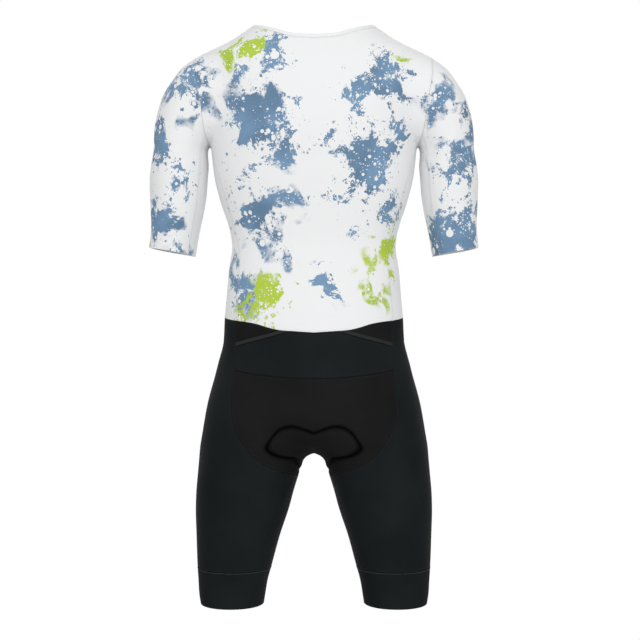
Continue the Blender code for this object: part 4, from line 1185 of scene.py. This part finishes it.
def splatter(finish, place, cover, seed):
    """How much ink lies at a place: ragged blotches, round gaps in them and specks about them.

    A blotch is where rough noise plus the cover passes a level.  The gaps and specks are round
    cells of a random size, and a soft haze lies past part of each blotch.
    """
    moved = finish.add("VectorMath", {0: place, 1: (seed, seed * 0.7, -seed * 0.4)})
    swell = finish.times(cover, SWELL)
    rough = finish.noise(moved, BLOTCH_LUMPS, 9.0, Roughness=0.7, Distortion=RAGGED)
    thick = finish.plus(rough, swell)
    blotch = finish.ramped(thick, *BLOTCH_LEVELS)
    cells = []
    for size, rarity, fullness in ROUND_CELLS:
        cell = finish.add("TexVoronoi", {"Vector": moved, "Scale": size}, "Distance")
        chance = finish.add("SeparateColor", {0: cell.node.outputs["Color"]})
        radius = finish.times(finish.calc("POWER", chance, rarity), fullness)
        cells.append((radius, cell))

    def rounds(cells, share):
        """The round cells, each as large as a share of its radius."""
        depths = (
            finish.calc("SUBTRACT", finish.times(radius, share), off) for radius, off in cells
        )
        return finish.most(*(finish.ramped(depth, 0.0, ROUND_EDGE) for depth in depths))

    gaps = rounds(cells, finish.ramped(finish.noise(moved, GAP_LUMPS, 1.0), *GAP_LEVELS))
    drops = rounds(cells[1:], finish.ramped(thick, *NEAR_LEVELS))
    soft = finish.plus(finish.noise(moved, BLOTCH_LUMPS, Distortion=RAGGED), swell)
    where = finish.ramped(finish.noise(moved, HAZE_LUMPS, 0.0), *HAZE_PATCHES)
    haze = finish.times(finish.ramped(soft, *HAZE_LEVELS), where)
    haze = finish.without(haze, finish.times(blotch, gaps))
    haze = finish.times(haze, HAZE_INK)
    ink = finish.most(finish.without(blotch, gaps), finish.without(drops, blotch), haze)
    return finish.times(ink, finish.ramped(cover, *COVER_LEVELS))


@functools.lru_cache
def white_knit():
    """White stretch knit with the blue and lime splatter print."""
    finish = Finish("white_knit", roughness=0.68, specular=0.12, sheen=(0.04, 0.5))
    place = finish.add("Attribute", out="Vector", attribute_name="pattern")
    shade = finish.noise(place, 16.0, 4.0)
    colour = colour_of("white")
    for name, seed, low, high, other in INKS:
        base = colour_of(name)
        ink = finish.mixed(finish.ramped(shade, low, high), base, toned(base, *other))
        colour = finish.mixed(splatter(finish, place, finish.value(name), seed), colour, ink)
    return finish.knitted(colour, pitch=0.0008, depth=0.00012)


@functools.lru_cache
def dark_knit(name, colour, roughness, sheen, pitch):
    """A black knit whose tone varies faintly, with painted shade in the welt's groove round the
    pad.
    """
    finish = Finish(name, roughness, specular=0.01, sheen=(sheen, 0.4))
    shade = finish.ramped(finish.noise(finish.place(), 9.0, 3.0), 0.3, 0.7)
    tone = finish.mixed(shade, colour, toned(colour, 1.35))
    # painted shade: the groove round the pad is darkened in the colour, down to 0.12 of the black
    tone = finish.mixed(finish.value("press"), tone, toned(colour, 0.12))
    return finish.knitted(tone, pitch, depth=0.00014)


def black_knit():
    """Cool black knit of the legs and the pocket."""
    return dark_knit("black_knit", colour_of("black"), roughness=0.55, sheen=0.004, pitch=0.0009)


def seat_knit():
    """Warm, more matt black knit of the seat and the inner lower back."""
    return dark_knit("seat_knit", colour_of("seat"), roughness=0.66, sheen=0.003, pitch=0.0011)


def band_knit():
    """The leg bands' coarser black knit."""
    return dark_knit("band_knit", colour_of("black"), roughness=0.6, sheen=0.004, pitch=0.0015)


def two_toned(finish, pattern, base, other, depth, strength):
    """A finish whose colour and relief both follow one pattern, from a toned colour to its own."""
    return finish.done(finish.mixed(pattern, toned(base, other), base), pattern, depth, strength)


@functools.lru_cache
def ribbed_elastic():
    """Elastic with ribs 1.2 mm apart across its length."""
    finish = Finish("pocket_elastic", roughness=0.7, specular=0.25)
    ribs, base = finish.ridges(0.0012, "X"), colour_of("elastic")
    return two_toned(finish, ribs, base, 0.6, depth=0.0002, strength=0.5)


@functools.lru_cache
def woven_tape():
    """The zip's tape: a fine slanting weave."""
    finish = Finish("woven_tape", roughness=0.65)
    weave, base = finish.ridges(0.0008, "DIAGONAL"), colour_of("tape")
    return two_toned(finish, weave, base, 0.84, depth=0.00015, strength=0.4)


@functools.lru_cache
def pad_cover():
    """Brushed cover of the pad, with a fine nap."""
    finish = Finish("pad_cover", roughness=0.9, sheen=(0.2, 0.5))
    nap, base = finish.noise(finish.place(), 900.0, 3.0), colour_of("pad")
    tone = finish.mixed(nap, base, toned(base, 1.8))
    return finish.done(tone, nap, depth=0.0003, strength=0.4)


@functools.lru_cache
def satin_metal():
    """Satin aluminium with a faint grain and softly worn spots."""
    finish = Finish("satin_metal", roughness=0.5)
    grain = finish.noise(finish.place(), 700.0, 4.0)
    rough = finish.add("MapRange", {"Value": grain, "To Min": 0.24, "To Max": 0.44})
    finish.put(finish.sockets["Roughness"], rough)
    finish.sockets["Metallic"].default_value = 0.95
    return two_toned(finish, grain, colour_of("metal"), 0.75, depth=0.00005, strength=0.3)


@functools.lru_cache
def spun(name, colour, roughness):
    """Thread, tape or moulded nylon: a plain tone with a fine variation in it."""
    finish = Finish(name, roughness)
    noise = finish.noise(finish.place(), 1200.0)
    return finish.done(finish.mixed(noise, toned(colour, 0.8), colour))


# Sewing.

BESIDE_SEAM = 2.1  # how far a row of stitches lies beside its seam
BESIDE_BAND = 1.8
BESIDE_ZIP = 2.2
STITCH_SHARE = 0.8  # how much of its pitch a stitch is long
BAND_THREAD = 0.5  # the diameter of the thread above the leg bands
BAND_STEP = 0.15  # how much further out a leg band's own cloth is
NECK_TAPE_IN = 2.9  # how far the neck's tape lies below its seam
SEAM_TAPE = (-3, -1, 1, 3)  # a seam tape's lines, from its seam
TAPE_SKINS = (-0.45, -0.15)  # where its skins lie, from the cloth's inner one
STITCH_RINGS = np.array([  # of a thread's four rings: share of its length, height, width
    (0.0, -1.2, 0.6), (0.22, 0.7, 1.0), (0.78, 0.7, 1.0), (1.0, -1.2, 0.6),
])


def evenly(line, pitch):
    """A line's points at an even pitch."""
    run = np.concatenate([[0], np.cumsum(np.linalg.norm(np.diff(line, axis=0), axis=1))])
    at = np.arange(0, run[-1], pitch)
    return np.stack([np.interp(at, run, line[:, k]) for k in range(3)], -1)


def tube_faces(rings, sides):
    """The faces between a tube's rings, whose points are numbered ring by ring."""
    at = np.arange(rings * sides).reshape(rings, sides)
    after = np.roll(at, -1, 1)
    return np.stack([at[:-1], after[:-1], after[1:], at[1:]], -1).reshape(-1, 4)


def stitch_shapes(starts, ends, out, radius):
    """Short threads that rise out of the cloth and dip back into it.

    Each is a four-sided tube through four rings.  Its middle rings stand out by the radius and
    its end rings lie inside the cloth.
    """
    run = ends - starts
    run = run / np.maximum(np.linalg.norm(run, axis=1, keepdims=True), TINY)
    side = np.cross(out, run)
    share, height, wide = STITCH_RINGS.T[:, None, :, None, None]
    angle = np.radians([45, 135, 225, 315])[None, None, :, None]
    out = out[:, None, None, :]
    round_it = np.cos(angle) * side[:, None, None, :] + np.sin(angle) * out
    middle = starts[:, None, None] * (1 - share) + ends[:, None, None] * share
    points = middle + (height * out + wide * round_it) * radius
    faces = np.concatenate([tube_faces(4, 4), [[3, 2, 1, 0], [12, 13, 14, 15]]])
    first = np.arange(len(starts))[:, None, None] * 16
    return points.reshape(-1, 3), (faces[None] + first).reshape(-1, 4)


def sewn(name, lines, off, finish, thread=None):
    """Rows of stitches along lines: each line is points on the form and how far to its side.

    A line's stitches lie off the form by off, which is the outer skin of the cloth there.  The
    other half of the suit has its mirror image, where the side square to a line changes over.
    """
    pitch, radius = size_of("stitch"), (thread or size_of("thread")) / 2
    points, faces, first = [], [], 0
    for line, beside in lines + [(line * (-1, 1, 1), -beside) for line, beside in lines]:
        at = evenly(line + sideways(line) * beside, pitch)
        way = slope(at, LIFT_STEP)[0]
        at = at + way * (creased(at) + off)[:, None]
        ends = at[:-1] + (at[1:] - at[:-1]) * STITCH_SHARE
        made, corners = stitch_shapes(at[:-1], ends, way[:-1], radius)
        points.append(made)
        faces.append(corners + first)
        first += len(made)
    piece = made_mesh(name, np.concatenate(points), np.concatenate(faces), finish, sharp=80)
    return on_body(piece, ())


def backed(name, lines, finish):
    """Thin tapes under the seams, inside the cloth."""
    grids = []
    for line in lines:
        side = sideways(line)
        grids.append(np.stack([line + side * width for width in SEAM_TAPE], 0))
    inner, outer = (skin - size_of("wall") / 2 for skin in TAPE_SKINS)
    on_body(cloth(name, grids, finish, (inner, outer)), ())


# Sizes and colours that a user would change.


def length(name, description, value):
    """A property that holds a length."""
    return FloatProperty(name=name, description=description, default=value, unit="LENGTH")


def colour(name, description, value):
    """A property that holds a colour."""
    return FloatVectorProperty(
        name=name, description=description, default=(*value, 1), size=4, subtype="COLOR",
        min=0, max=1,
    )


def size_of(name):
    """One of the suit's sizes, in millimetres."""
    return getattr(bpy.context.scene.suit_sizes, name) / MM


class SuitSizes(bpy.types.PropertyGroup):
    """Thicknesses, gaps and stitches of the suit's cloth."""

    wall: length("Cloth", "Thickness of the knit", 0.0012)
    seam_gap: length("Seam gap", "Between two panels' edges", 0.0005)
    binding_wall: length("Neck binding", "Thickness of the folded neck binding", 0.002)
    pocket_wall: length("Pocket", "Thickness of the back pocket's cloth", 0.001)
    pocket_gap: length("Pocket gap", "How far the pocket lies off the lower back", 0.0007)
    elastic_wall: length("Pocket elastic", "Thickness of the pocket's bindings", 0.0014)
    band_wall: length("Leg band", "Thickness of the elastic leg bands", 0.0015)
    pad_wall: length("Pad", "Thickness of the riding pad", 0.005)
    pad_rise: length("Pad relief", "How far the pad lifts the seat", 0.002)
    groove: length("Pad groove", "Depth of the welt round the pad", 0.0013)
    stitch: length("Stitch", "Pitch of the sewing", 0.0026)
    thread: length("Thread", "Diameter of the sewing thread", 0.0003)
    teeth: IntProperty(
        name="Zip teeth", description="How many teeth each side of the zip has", default=260
    )


class SuitColours(bpy.types.PropertyGroup):
    """Colours of the suit's cloth, trims and threads."""

    white: colour("White", "Ground of the top", (0.78, 0.785, 0.79))
    blue: colour("Blue", "Print on the top", (0.17, 0.29, 0.44))
    lime: colour("Lime", "Second print on the top", (0.42, 0.56, 0.06))
    black: colour("Black", "Legs and pocket", (0.0096, 0.0118, 0.0127))
    seat: colour("Seat", "Seat panel and inner lower back", (0.01, 0.0097, 0.0098))
    elastic: colour("Elastic", "Pocket bindings", (0.0135, 0.015, 0.0155))
    pad: colour("Pad", "Cover of the riding pad", (0.03, 0.03, 0.036))
    tape: colour("Zip tape", "Tapes of the zip", (0.78, 0.79, 0.79))
    metal: colour("Zip metal", "Slider and pull tab", (0.36, 0.37, 0.385))
    white_thread: colour("White thread", "Sewing of the top", (0.7, 0.715, 0.72))
    black_thread: colour("Black thread", "Sewing of the shorts", (0.01, 0.011, 0.011))
    band_thread: colour("Band thread", "Sewing above the leg bands", (0.1, 0.105, 0.108))


class SuitStage(bpy.types.PropertyGroup):
    """Floor and light round the suit."""

    floor_height: length("Floor", "Height of the floor", -2.0)
    floor_colour: colour("Floor colour", "Pale floor", (0.7, 0.7, 0.7))
    ambient: FloatProperty(
        name="Ambient", description="Strength of the light all round", default=0.6
    )
    backdrop: FloatProperty(
        name="Backdrop", description="Strength of the light behind the suit", default=1.0
    )
    key: FloatProperty(
        name="Key light", description="Power of the main light", default=36, unit="POWER"
    )


class SUIT_OT_top(bpy.types.Operator):
    """Makes the back, the two fronts and the two side panels of the white top"""

    bl_idname = "suit.top"
    bl_label = "Back, fronts and sides"

    def execute(self, context):
        """Each panel has a place of its own in the print, by how far its pattern is shifted."""
        seams, gap, wall = lines_of_the_suit(), size_of("seam_gap"), layer(size_of("wall"))
        front, side = front_grids(seams, gap)[0], side_grid(seams, gap)
        for node, grids, shift in (
            ("back_body", [back_grid(seams, gap)], (0, 0, 0)),
            ("front_right", [front], (0.4, 0.1, 0)),
            ("front_left", mirrored([front]), (0.9, 0.2, 0)),
            ("side_panel_right", [side], (1.3, 0, 0.2)),
            ("side_panel_left", mirrored([side]), (1.7, 0, 0.5)),
        ):
            piece = printed(dressed(node, grids, white_knit(), wall), shift)
        return {"FINISHED"}


class SUIT_OT_sleeves(bpy.types.Operator):
    """Makes the two sleeves and the strips under them"""

    bl_idname = "suit.sleeves"
    bl_label = "Sleeves"

    def execute(self, context):
        """The right sleeve's tube is parted at two of its lines, and both parts are mirrored."""
        wall, gap = layer(size_of("wall")), size_of("seam_gap") / 2
        points = sleeve_tube()
        first, last = UNDER_COLUMNS
        edges = ("bottom", "left", "right")
        over = np.concatenate([points[:, last:-1], points[:, :first + 1]], 1)
        over, under = pulled(over, edges, gap), pulled(points[:, first:last + 1], edges, gap)
        for node, grids, shift in (
            ("sleeve_right", [over], (0.2, 0.6, 0)),
            ("sleeve_left", mirrored([over]), (0.7, 0.9, 0)),
            ("sleeve_under_right", [under], (1.1, 0.6, 0)),
            ("sleeve_under_left", mirrored([under]), (1.5, 0.9, 0)),
        ):
            printed(dressed(node, grids, white_knit(), wall), shift)
        return {"FINISHED"}


class SUIT_OT_neck(bpy.types.Operator):
    """Makes the folded binding that stands on the neck seam"""

    bl_idname = "suit.neck"
    bl_label = "Neck binding"

    def execute(self, context):
        """A rounded oblong carried along the neck seam, square to it and to the form.

        At an angle its rise and its way out are the sine's and the cosine's size to the power
        BINDING_ROUNDING, each with its sign.
        """
        seams = lines_of_the_suit()
        start = np.array([[ZIP_OPENING / 2, 0, NECK_SEAM[-1][1]]], float)
        end = cast(start, FORWARDS, REACH)
        seam = np.concatenate([seams["neck_back"], seams["neck_front"][1:], end])
        out = slope(seam)[0]
        up = np.cross(out, np.gradient(seam, axis=0))
        up /= np.linalg.norm(up, axis=1, keepdims=True)
        up *= np.sign(up[:, 2:])
        up[0, 0] = out[0, 0] = 0
        low = size_of("seam_gap") / 2
        half = (BINDING_HEIGHT - low) / 2
        angle = np.radians(np.arange(BINDING_SIDES) * 360 / BINDING_SIDES)[:, None, None]
        rise, off = (
            np.sign(part) * np.abs(part) ** BINDING_ROUNDING
            for part in (np.sin(angle), np.cos(angle))
        )
        wave = BINDING_WAVE * np.sin(np.arange(len(seam)) * BINDING_WAVE_STEP)[None, :, None]
        thick = size_of("binding_wall") / 2 + wave
        right = seam[None] + up[None] * (rise * half + low + half) + out[None] * off * thick
        right[:, -1, 0] = ZIP_OPENING / 2
        points = whole(right)
        rows, columns = points.shape[:2]
        at = np.arange(rows * columns).reshape(rows, columns)
        after = np.roll(at, -1, 0)
        faces = [np.stack([at[:, :-1], at[:, 1:], after[:, 1:], after[:, :-1]], -1).reshape(-1, 4)]
        for column, turn in ((at[:, 0], 1), (at[:, -1], -1)):
            low_side, high_side = column[:rows // 2], column[:rows // 2 - 1:-1]
            cap = np.stack([low_side[:-1], low_side[1:], high_side[1:], high_side[:-1]], -1)
            faces.append(cap[:, ::turn])
        points, faces = outwards(points.reshape(-1, 3), np.concatenate(faces))
        piece = made_mesh("neck_binding_cloth", points, faces, white_knit(), sharp=60)
        run = float(np.linalg.norm(np.diff(seam, axis=0), axis=1).sum()) * 2 * MM
        piece["worn"] = [run, BINDING_CUT * MM, run * BINDING_CUT * MM]
        laid_flat(piece, points[faces.ravel()][:, [0, 2]])
        on_body(printed(piece, (2.3, 0.4, 0.8), False), ["neck_binding"])
        return {"FINISHED"}


class SUIT_OT_zip(bpy.types.Operator):
    """Makes the zip's tapes and teeth, and finishes its slider and pull tab"""

    bl_idname = "suit.zip"
    bl_label = "Zip"

    def execute(self, context):
        """The tapes lie on the form beside its middle line; the slider and tab are the solids."""
        wall = size_of("wall")
        tape = front_grids(lines_of_the_suit(), size_of("seam_gap"))[1]
        for side, grids in (("right", [tape]), ("left", mirrored([tape]))):
            piece = dressed("zip_tape_" + side, grids, woven_tape(), layer(wall))
        self.teeth(context.scene.suit_sizes.teeth, wall / 2 + TEETH_OUT)
        for node in ("zip_slider", "zip_pull"):
            made = frame["nodes"][node]
            made.data.materials.clear()
            made.data.materials.append(satin_metal())
        return {"FINISHED"}

    def teeth(self, count, off):
        """Rounded studs from either tape, half a pitch apart, meeting in the middle.

        A stud's ring is an ellipse of six points, scaled by that ring's share of the full size.
        """
        height = np.linspace(ZIP_TOP, ZIP_BOTTOM, 2 * count)
        side = np.where(np.arange(2 * count) % 2, 1.0, -1.0)
        start = np.stack([0 * height, 0 * height, height], -1)
        middle = cast(start, FORWARDS, REACH)
        out = slope(middle)[0]
        out[:, 0] = 0
        down = np.stack([0 * height, out[:, 2], -out[:, 1]], -1)
        share, size = TOOTH_RINGS.T[:, None, :, None, None]
        angle = np.radians(np.arange(6) * 60.0)[None, None, :, None]
        root, tip = TOOTH_REACH
        along = (root + (tip - root) * share) * side[:, None, None, None]
        half_height, half_width = TOOTH_ROUND
        tall, wide = np.sin(angle) * half_height * size, np.cos(angle) * half_width * size
        base = (middle + out * off)[:, None, None]
        points = base + along * np.array([1.0, 0.0, 0.0])
        points = points + tall * out[:, None, None] + wide * down[:, None, None]
        caps = [[0, 5, 4, 3], [0, 3, 2, 1], [24, 25, 26, 27], [24, 27, 28, 29]]
        faces = np.concatenate([tube_faces(5, 6), caps])
        first = np.arange(len(height))[:, None, None] * 30
        flipped = np.where(side[:, None, None] > 0, faces[None], faces[None, :, ::-1])
        points, faces = outwards(points.reshape(-1, 3), (flipped + first).reshape(-1, 4))
        nylon = spun("zip_nylon", colour_of("tape"), roughness=0.4)
        on_body(made_mesh("zip_teeth", points, faces, nylon, sharp=60), ())


class SUIT_OT_pocket(bpy.types.Operator):
    """Makes the inner lower back, the pocket on it and the elastic along its two mouths"""

    bl_idname = "suit.pocket"
    bl_label = "Lower back and pocket"

    def execute(self, context):
        """The pocket and its elastic lie on the lower back's own points, between its rows."""
        wall = size_of("wall")
        lower = lower_back_grid(lines_of_the_suit(), size_of("seam_gap"))
        dressed("lower_back", [whole(lower)], seat_knit(), layer(wall))

        column = steps(0, BACK_TABLE - POCKET_INSET, POCKET_COLUMNS)
        edge, mouth = pocket_lines(lower, column)
        top = edge - UNDER_BINDING * np.clip((mouth - edge) / 2, 0, 1)
        share = np.linspace(0, 1, POCKET_ROWS)[:, None]
        row, at = grid_rows(lower, column, top)
        row = POCKET_FOOT + share * (row - POCKET_FOOT)[None]
        points = sampled(lower, row, at[None] + 0 * row)
        points[:, 0, 0] = 0
        out = wall / 2 + size_of("pocket_gap")
        skins = layer(size_of("pocket_wall"), out)
        pocket = dressed("back_pocket", [whole(points)], black_knit(), skins)

        column = steps(MOUTH_COLUMN - 1, BACK_TABLE, MOUTH_COLUMNS)
        edge, mouth = pocket_lines(lower, column)
        share = np.linspace(0, 1, MOUTH_ROWS)[:, None]
        row, at = grid_rows(lower, column, edge + share * (mouth - edge))
        points = sampled(lower, row, at + 0 * row)
        skins = layer(size_of("elastic_wall"), out)
        [
            dressed("pocket_binding_" + side, grids, ribbed_elastic(), skins)
            for side, grids in (("right", [points]), ("left", mirrored([points])))
        ]
        return {"FINISHED"}


class SUIT_OT_seat(bpy.types.Operator):
    """Makes the seat panel with the pad's relief, and the riding pad under it"""

    bl_idname = "suit.seat"
    bl_label = "Seat and pad"

    def execute(self, context):
        """The seat is lifted inside the pad's outline, and sunk in a narrow bell along it."""
        grid, row, column = seat_table()
        inside = inside_pad(grid, row, column)
        way = slope(grid, LIFT_STEP)[0]
        raised = grid + way * (size_of("pad_rise") * eased((inside - 1) / PAD_SHOULDER))[..., None]
        narrow, wider, at, spread = GROOVE
        width = narrow + wider * np.exp(-((row - at) / spread) ** 2)[:, None]
        groove = np.exp(-(inside / width) ** 2)
        sunk = raised - way * (size_of("groove") * groove)[..., None]
        outer = sunk.copy()
        outer[:, 0, 0] = 0
        outer = pulled(outer, ("bottom", "right"), size_of("seam_gap") / 2)
        outer[:, 0, 0] = 0
        wall = size_of("wall")
        piece = dressed("seat_panel", [whole(outer)], seat_knit(), layer(wall))
        # the groove's bell is also given to the seat's colour as painted shade in the welt
        marked(piece, "press", np.tile(welded_values(outer, groove), 2))

        rows = slice(PAD_START * SEAT_STEPS + 2, PAD_END * SEAT_STEPS)
        columns = slice(0, PAD_COLUMNS * SEAT_LINES)
        within = rows, columns
        body = sunk[within]
        body[:, 0, 0] = 0
        deep = np.clip((inside[within] - PAD_RIM) / PAD_SHOULDER, PAD_LEAST / PAD_SHOULDER, 1)
        full = np.sqrt(1 - (1 - deep) ** 2)
        middle = np.exp(-(body[..., 0] / CHANNEL_WIDTH) ** 2)
        cross = np.exp(-((row[rows][:, None] - CHANNEL_ROW) / CHANNEL_ROWS) ** 2)
        cross = cross * (column[columns][None] < CHANNEL_END)
        channel = 1 - CHANNEL_SHARE * np.maximum(middle, cross)
        thick = size_of("pad_wall") * (PAD_EDGE + (1 - PAD_EDGE) * full) * channel
        tall = welded_values(body, thick)
        top = -(wall / 2 + PAD_GAP)
        skins = (top - tall, top + 0 * tall)
        dressed("seat_pad", [whole(body)], pad_cover(), skins)
        return {"FINISHED"}


def welded_values(grid, values):
    """A half grid's values for the whole grid's points, in their welded order."""
    values = np.concatenate([values[:, :0:-1], values], 1)
    return values.ravel()[weld(whole(grid).reshape(-1, 3))[0]]


class SUIT_OT_legs(bpy.types.Operator):
    """Makes the two leg panels and their elastic bands"""

    bl_idname = "suit.legs"
    bl_label = "Legs and bands"

    def execute(self, context):
        """The right leg's upper panel and tube make one piece, and all of it is mirrored."""
        gap = size_of("seam_gap")
        upper, thigh, turn = hip_and_thigh(lines_of_the_suit(), gap)
        leg, band = [upper, thigh], [leg_band_grid(turn, gap)]
        walls = layer(size_of("wall")), layer(size_of("band_wall"))
        for side, flip in (("right", list), ("left", mirrored)):
            dressed("leg_" + side, flip(leg), black_knit(), walls[0])
            dressed("leg_band_" + side, flip(band), band_knit(), walls[1])
        return {"FINISHED"}


class SUIT_OT_sewing(bpy.types.Operator):
    """Makes the tapes under the seams and the stitches beside them"""

    bl_idname = "suit.sewing"
    bl_label = "Seams and stitches"

    def execute(self, context):
        """Tapes lie under the seams' own lines, and stitches run at even distances from them."""
        seams, gap, skin = lines_of_the_suit(), size_of("seam_gap"), size_of("wall") / 2
        sleeve, seat = sleeve_tube(), seat_table()[0]
        upper, thigh, _ = hip_and_thigh(seams, gap)
        front, band, yoke = settle(upper[:, -1] * (0, 1, 1)), thigh[0], seams["yoke"]
        waist, neck = (
            np.concatenate([seams[parts[0]], *(seams[part][1:] for part in parts[1:])])
            for parts in (("waist_back", "waist_side", "waist_front"), ("neck_back", "neck_front"))
        )
        white = [seams["side_back"], seams["side_front"], seams["shoulder"], sleeve[0]]
        white += [sleeve[:, column] for column in UNDER_COLUMNS]
        black = [seams["side_low"], seat[:-2, -1]]
        zip_edge = front_grids(seams, gap)[0][:, -1]

        def both(lines):
            """The right half's lines and the left half's."""
            return lines + mirrored(lines)

        def astride(lines):
            """A row of stitches on either side of each line."""
            return [(line, side) for line in lines for side in (-BESIDE_SEAM, BESIDE_SEAM)]

        below_neck = neck - sideways(neck) * NECK_TAPE_IN
        taped = both(white + [below_neck, zip_line(seams, ZIP_HALF_WIDTH)])
        tape = spun("white_tape", colour_of("white"), roughness=0.7)
        backed("white_seam_tape", taped, tape)
        taped = both(black + [yoke, waist, band]) + [front]
        tape = spun("black_tape", colour_of("black"), roughness=0.7)
        backed("black_seam_tape", taped, tape)

        white_thread, black_thread, band_thread = (
            spun(name, colour_of(name), roughness=0.6)
            for name in ("white_thread", "black_thread", "band_thread")
        )
        rows = [(zip_edge, BESIDE_ZIP), (waist, BESIDE_SEAM), (neck, -BESIDE_SEAM)]
        sewn("white_stitches", astride(white) + rows, skin, white_thread)
        rows = [(yoke, -BESIDE_SEAM), (waist, -BESIDE_SEAM), (front, BESIDE_SEAM)]
        sewn("black_stitches", astride(black) + rows, skin, black_thread)
        sewn("leg_stitches", [(band, BESIDE_BAND)], skin, black_thread)
        skin += BAND_STEP
        rows = [(band, -BESIDE_BAND)]
        sewn("band_stitches", rows, skin, band_thread, BAND_THREAD)
        return {"FINISHED"}


class SUIT_OT_stage(bpy.types.Operator):
    """Makes the pale floor, the soft lights and the camera"""

    bl_idname = "suit.stage"
    bl_label = "Stage"

    def execute(self, context):
        """Each lamp's -Z is turned to the lit point: its tilt, then its heading."""
        stage = context.scene.suit_stage
        self.floor(tuple(stage.floor_colour), stage.floor_height / MM)
        self.world(stage.ambient, stage.backdrop)
        for name, place, size, share in LIGHTS:
            lamp = bpy.data.lights.new(name, "AREA")
            lamp.shape, lamp.size, lamp.energy = "DISK", size, stage.key * share
            x, y, z = np.array(LIT_POINT) - np.array(place)
            turned = math.atan2(math.hypot(x, y), -z), 0, math.atan2(-x, y)
            self.placed(name, lamp, place, turned)
        camera = bpy.data.cameras.new("camera")
        camera.lens, camera.sensor_width = CAMERA_LENS, CAMERA_WIDTH
        level = math.radians(90), 0, 0
        context.scene.camera = self.placed("camera", camera, CAMERA_PLACE, level)
        context.scene.view_settings.view_transform = "Standard"
        context.scene.view_settings.look = "None"
        return {"FINISHED"}

    def placed(self, name, data, place, turned=(0, 0, 0)):
        """An object that holds some data at a place."""
        holder = bpy.data.objects.new(name, data)
        bpy.context.scene.collection.objects.link(holder)
        holder.location, holder.rotation_euler = place, turned
        return holder

    def floor(self, base, height):
        """Rings of points about the middle, joined like a tube's, with a fan inside the first."""
        finish = Finish("pale_floor", roughness=0.9, specular=0.1)
        noise = finish.noise(finish.place(), 3.0)
        material = finish.done(finish.mixed(noise, toned(base, 0.985), base))
        reach = np.array(FLOOR_RINGS)[:, None] / MM
        turn = np.radians(np.arange(FLOOR_SIDES) * 360 / FLOOR_SIDES)[None]
        rings = [reach * np.cos(turn), reach * np.sin(turn), height + 0 * reach * turn]
        points = np.concatenate([np.stack(rings, -1).reshape(-1, 3), [[0, 0, height]]])
        faces = tube_faces(len(FLOOR_RINGS), FLOOR_SIDES)[:, ::-1]
        inner = np.arange(FLOOR_SIDES)
        middle = np.stack([inner, np.roll(inner, -1), 0 * inner + len(points) - 1], -1)
        mesh = bpy.data.meshes.new("floor")
        mesh.from_pydata((points * MM).tolist(), [], faces.tolist() + middle.tolist())
        mesh.materials.append(material)
        self.placed("floor", mesh, (0, 0, 0))

    def world(self, ambient, backdrop):
        """Even light, which rises from ambient to backdrop behind the suit."""
        world = bpy.data.worlds.new("studio")
        bpy.context.scene.world = world
        world.use_nodes = True
        nodes, light = Nodes(world.node_tree), world.node_tree.nodes["Background"]
        way = nodes.add("TexCoord", out="Generated")
        behind = nodes.add("SeparateXYZ", {0: way}, "Y")
        rise = nodes.times(nodes.ramped(behind, *BACKDROP_EDGE), backdrop - ambient)
        nodes.put(light.inputs["Color"], (1, 1, 1, 1))
        nodes.put(light.inputs["Strength"], nodes.plus(rise, ambient))


class SUIT_PT_pieces(bpy.types.Panel):
    """Lists the suit's pieces, sizes and colours"""

    bl_idname = "SUIT_PT_pieces"
    bl_label = "Triathlon suit"
    bl_space_type = "VIEW_3D"
    bl_region_type = "UI"
    bl_category = "Suit"

    def draw(self, context):
        for operator in OPERATORS:
            self.layout.operator(operator.bl_idname)
        for name, group in GROUPS.items():
            box = self.layout.box()
            for size in group.__annotations__:
                box.prop(getattr(context.scene, name), size)


OPERATORS = (
    SUIT_OT_top, SUIT_OT_sleeves, SUIT_OT_neck, SUIT_OT_zip, SUIT_OT_pocket, SUIT_OT_seat,
    SUIT_OT_legs, SUIT_OT_sewing, SUIT_OT_stage,
)
GROUPS = {"suit_sizes": SuitSizes, "suit_colours": SuitColours, "suit_stage": SuitStage}
CLASSES = (*GROUPS.values(), *OPERATORS, SUIT_PT_pieces)


def register():
    """Adds the classes, and the sizes and colours to the scene."""
    for made in CLASSES:
        bpy.utils.register_class(made)
    for name, group in GROUPS.items():
        setattr(bpy.types.Scene, name, PointerProperty(type=group))


def unregister():
    """Takes them away again."""
    for name in GROUPS:
        delattr(bpy.types.Scene, name)
    for made in reversed(CLASSES):
        bpy.utils.unregister_class(made)


def main():
    """Registers the add-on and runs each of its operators."""
    register()
    for operator in OPERATORS:
        group, name = operator.bl_idname.split(".")
        getattr(getattr(bpy.ops, group), name)()


if __name__ == "__main__":
    main()
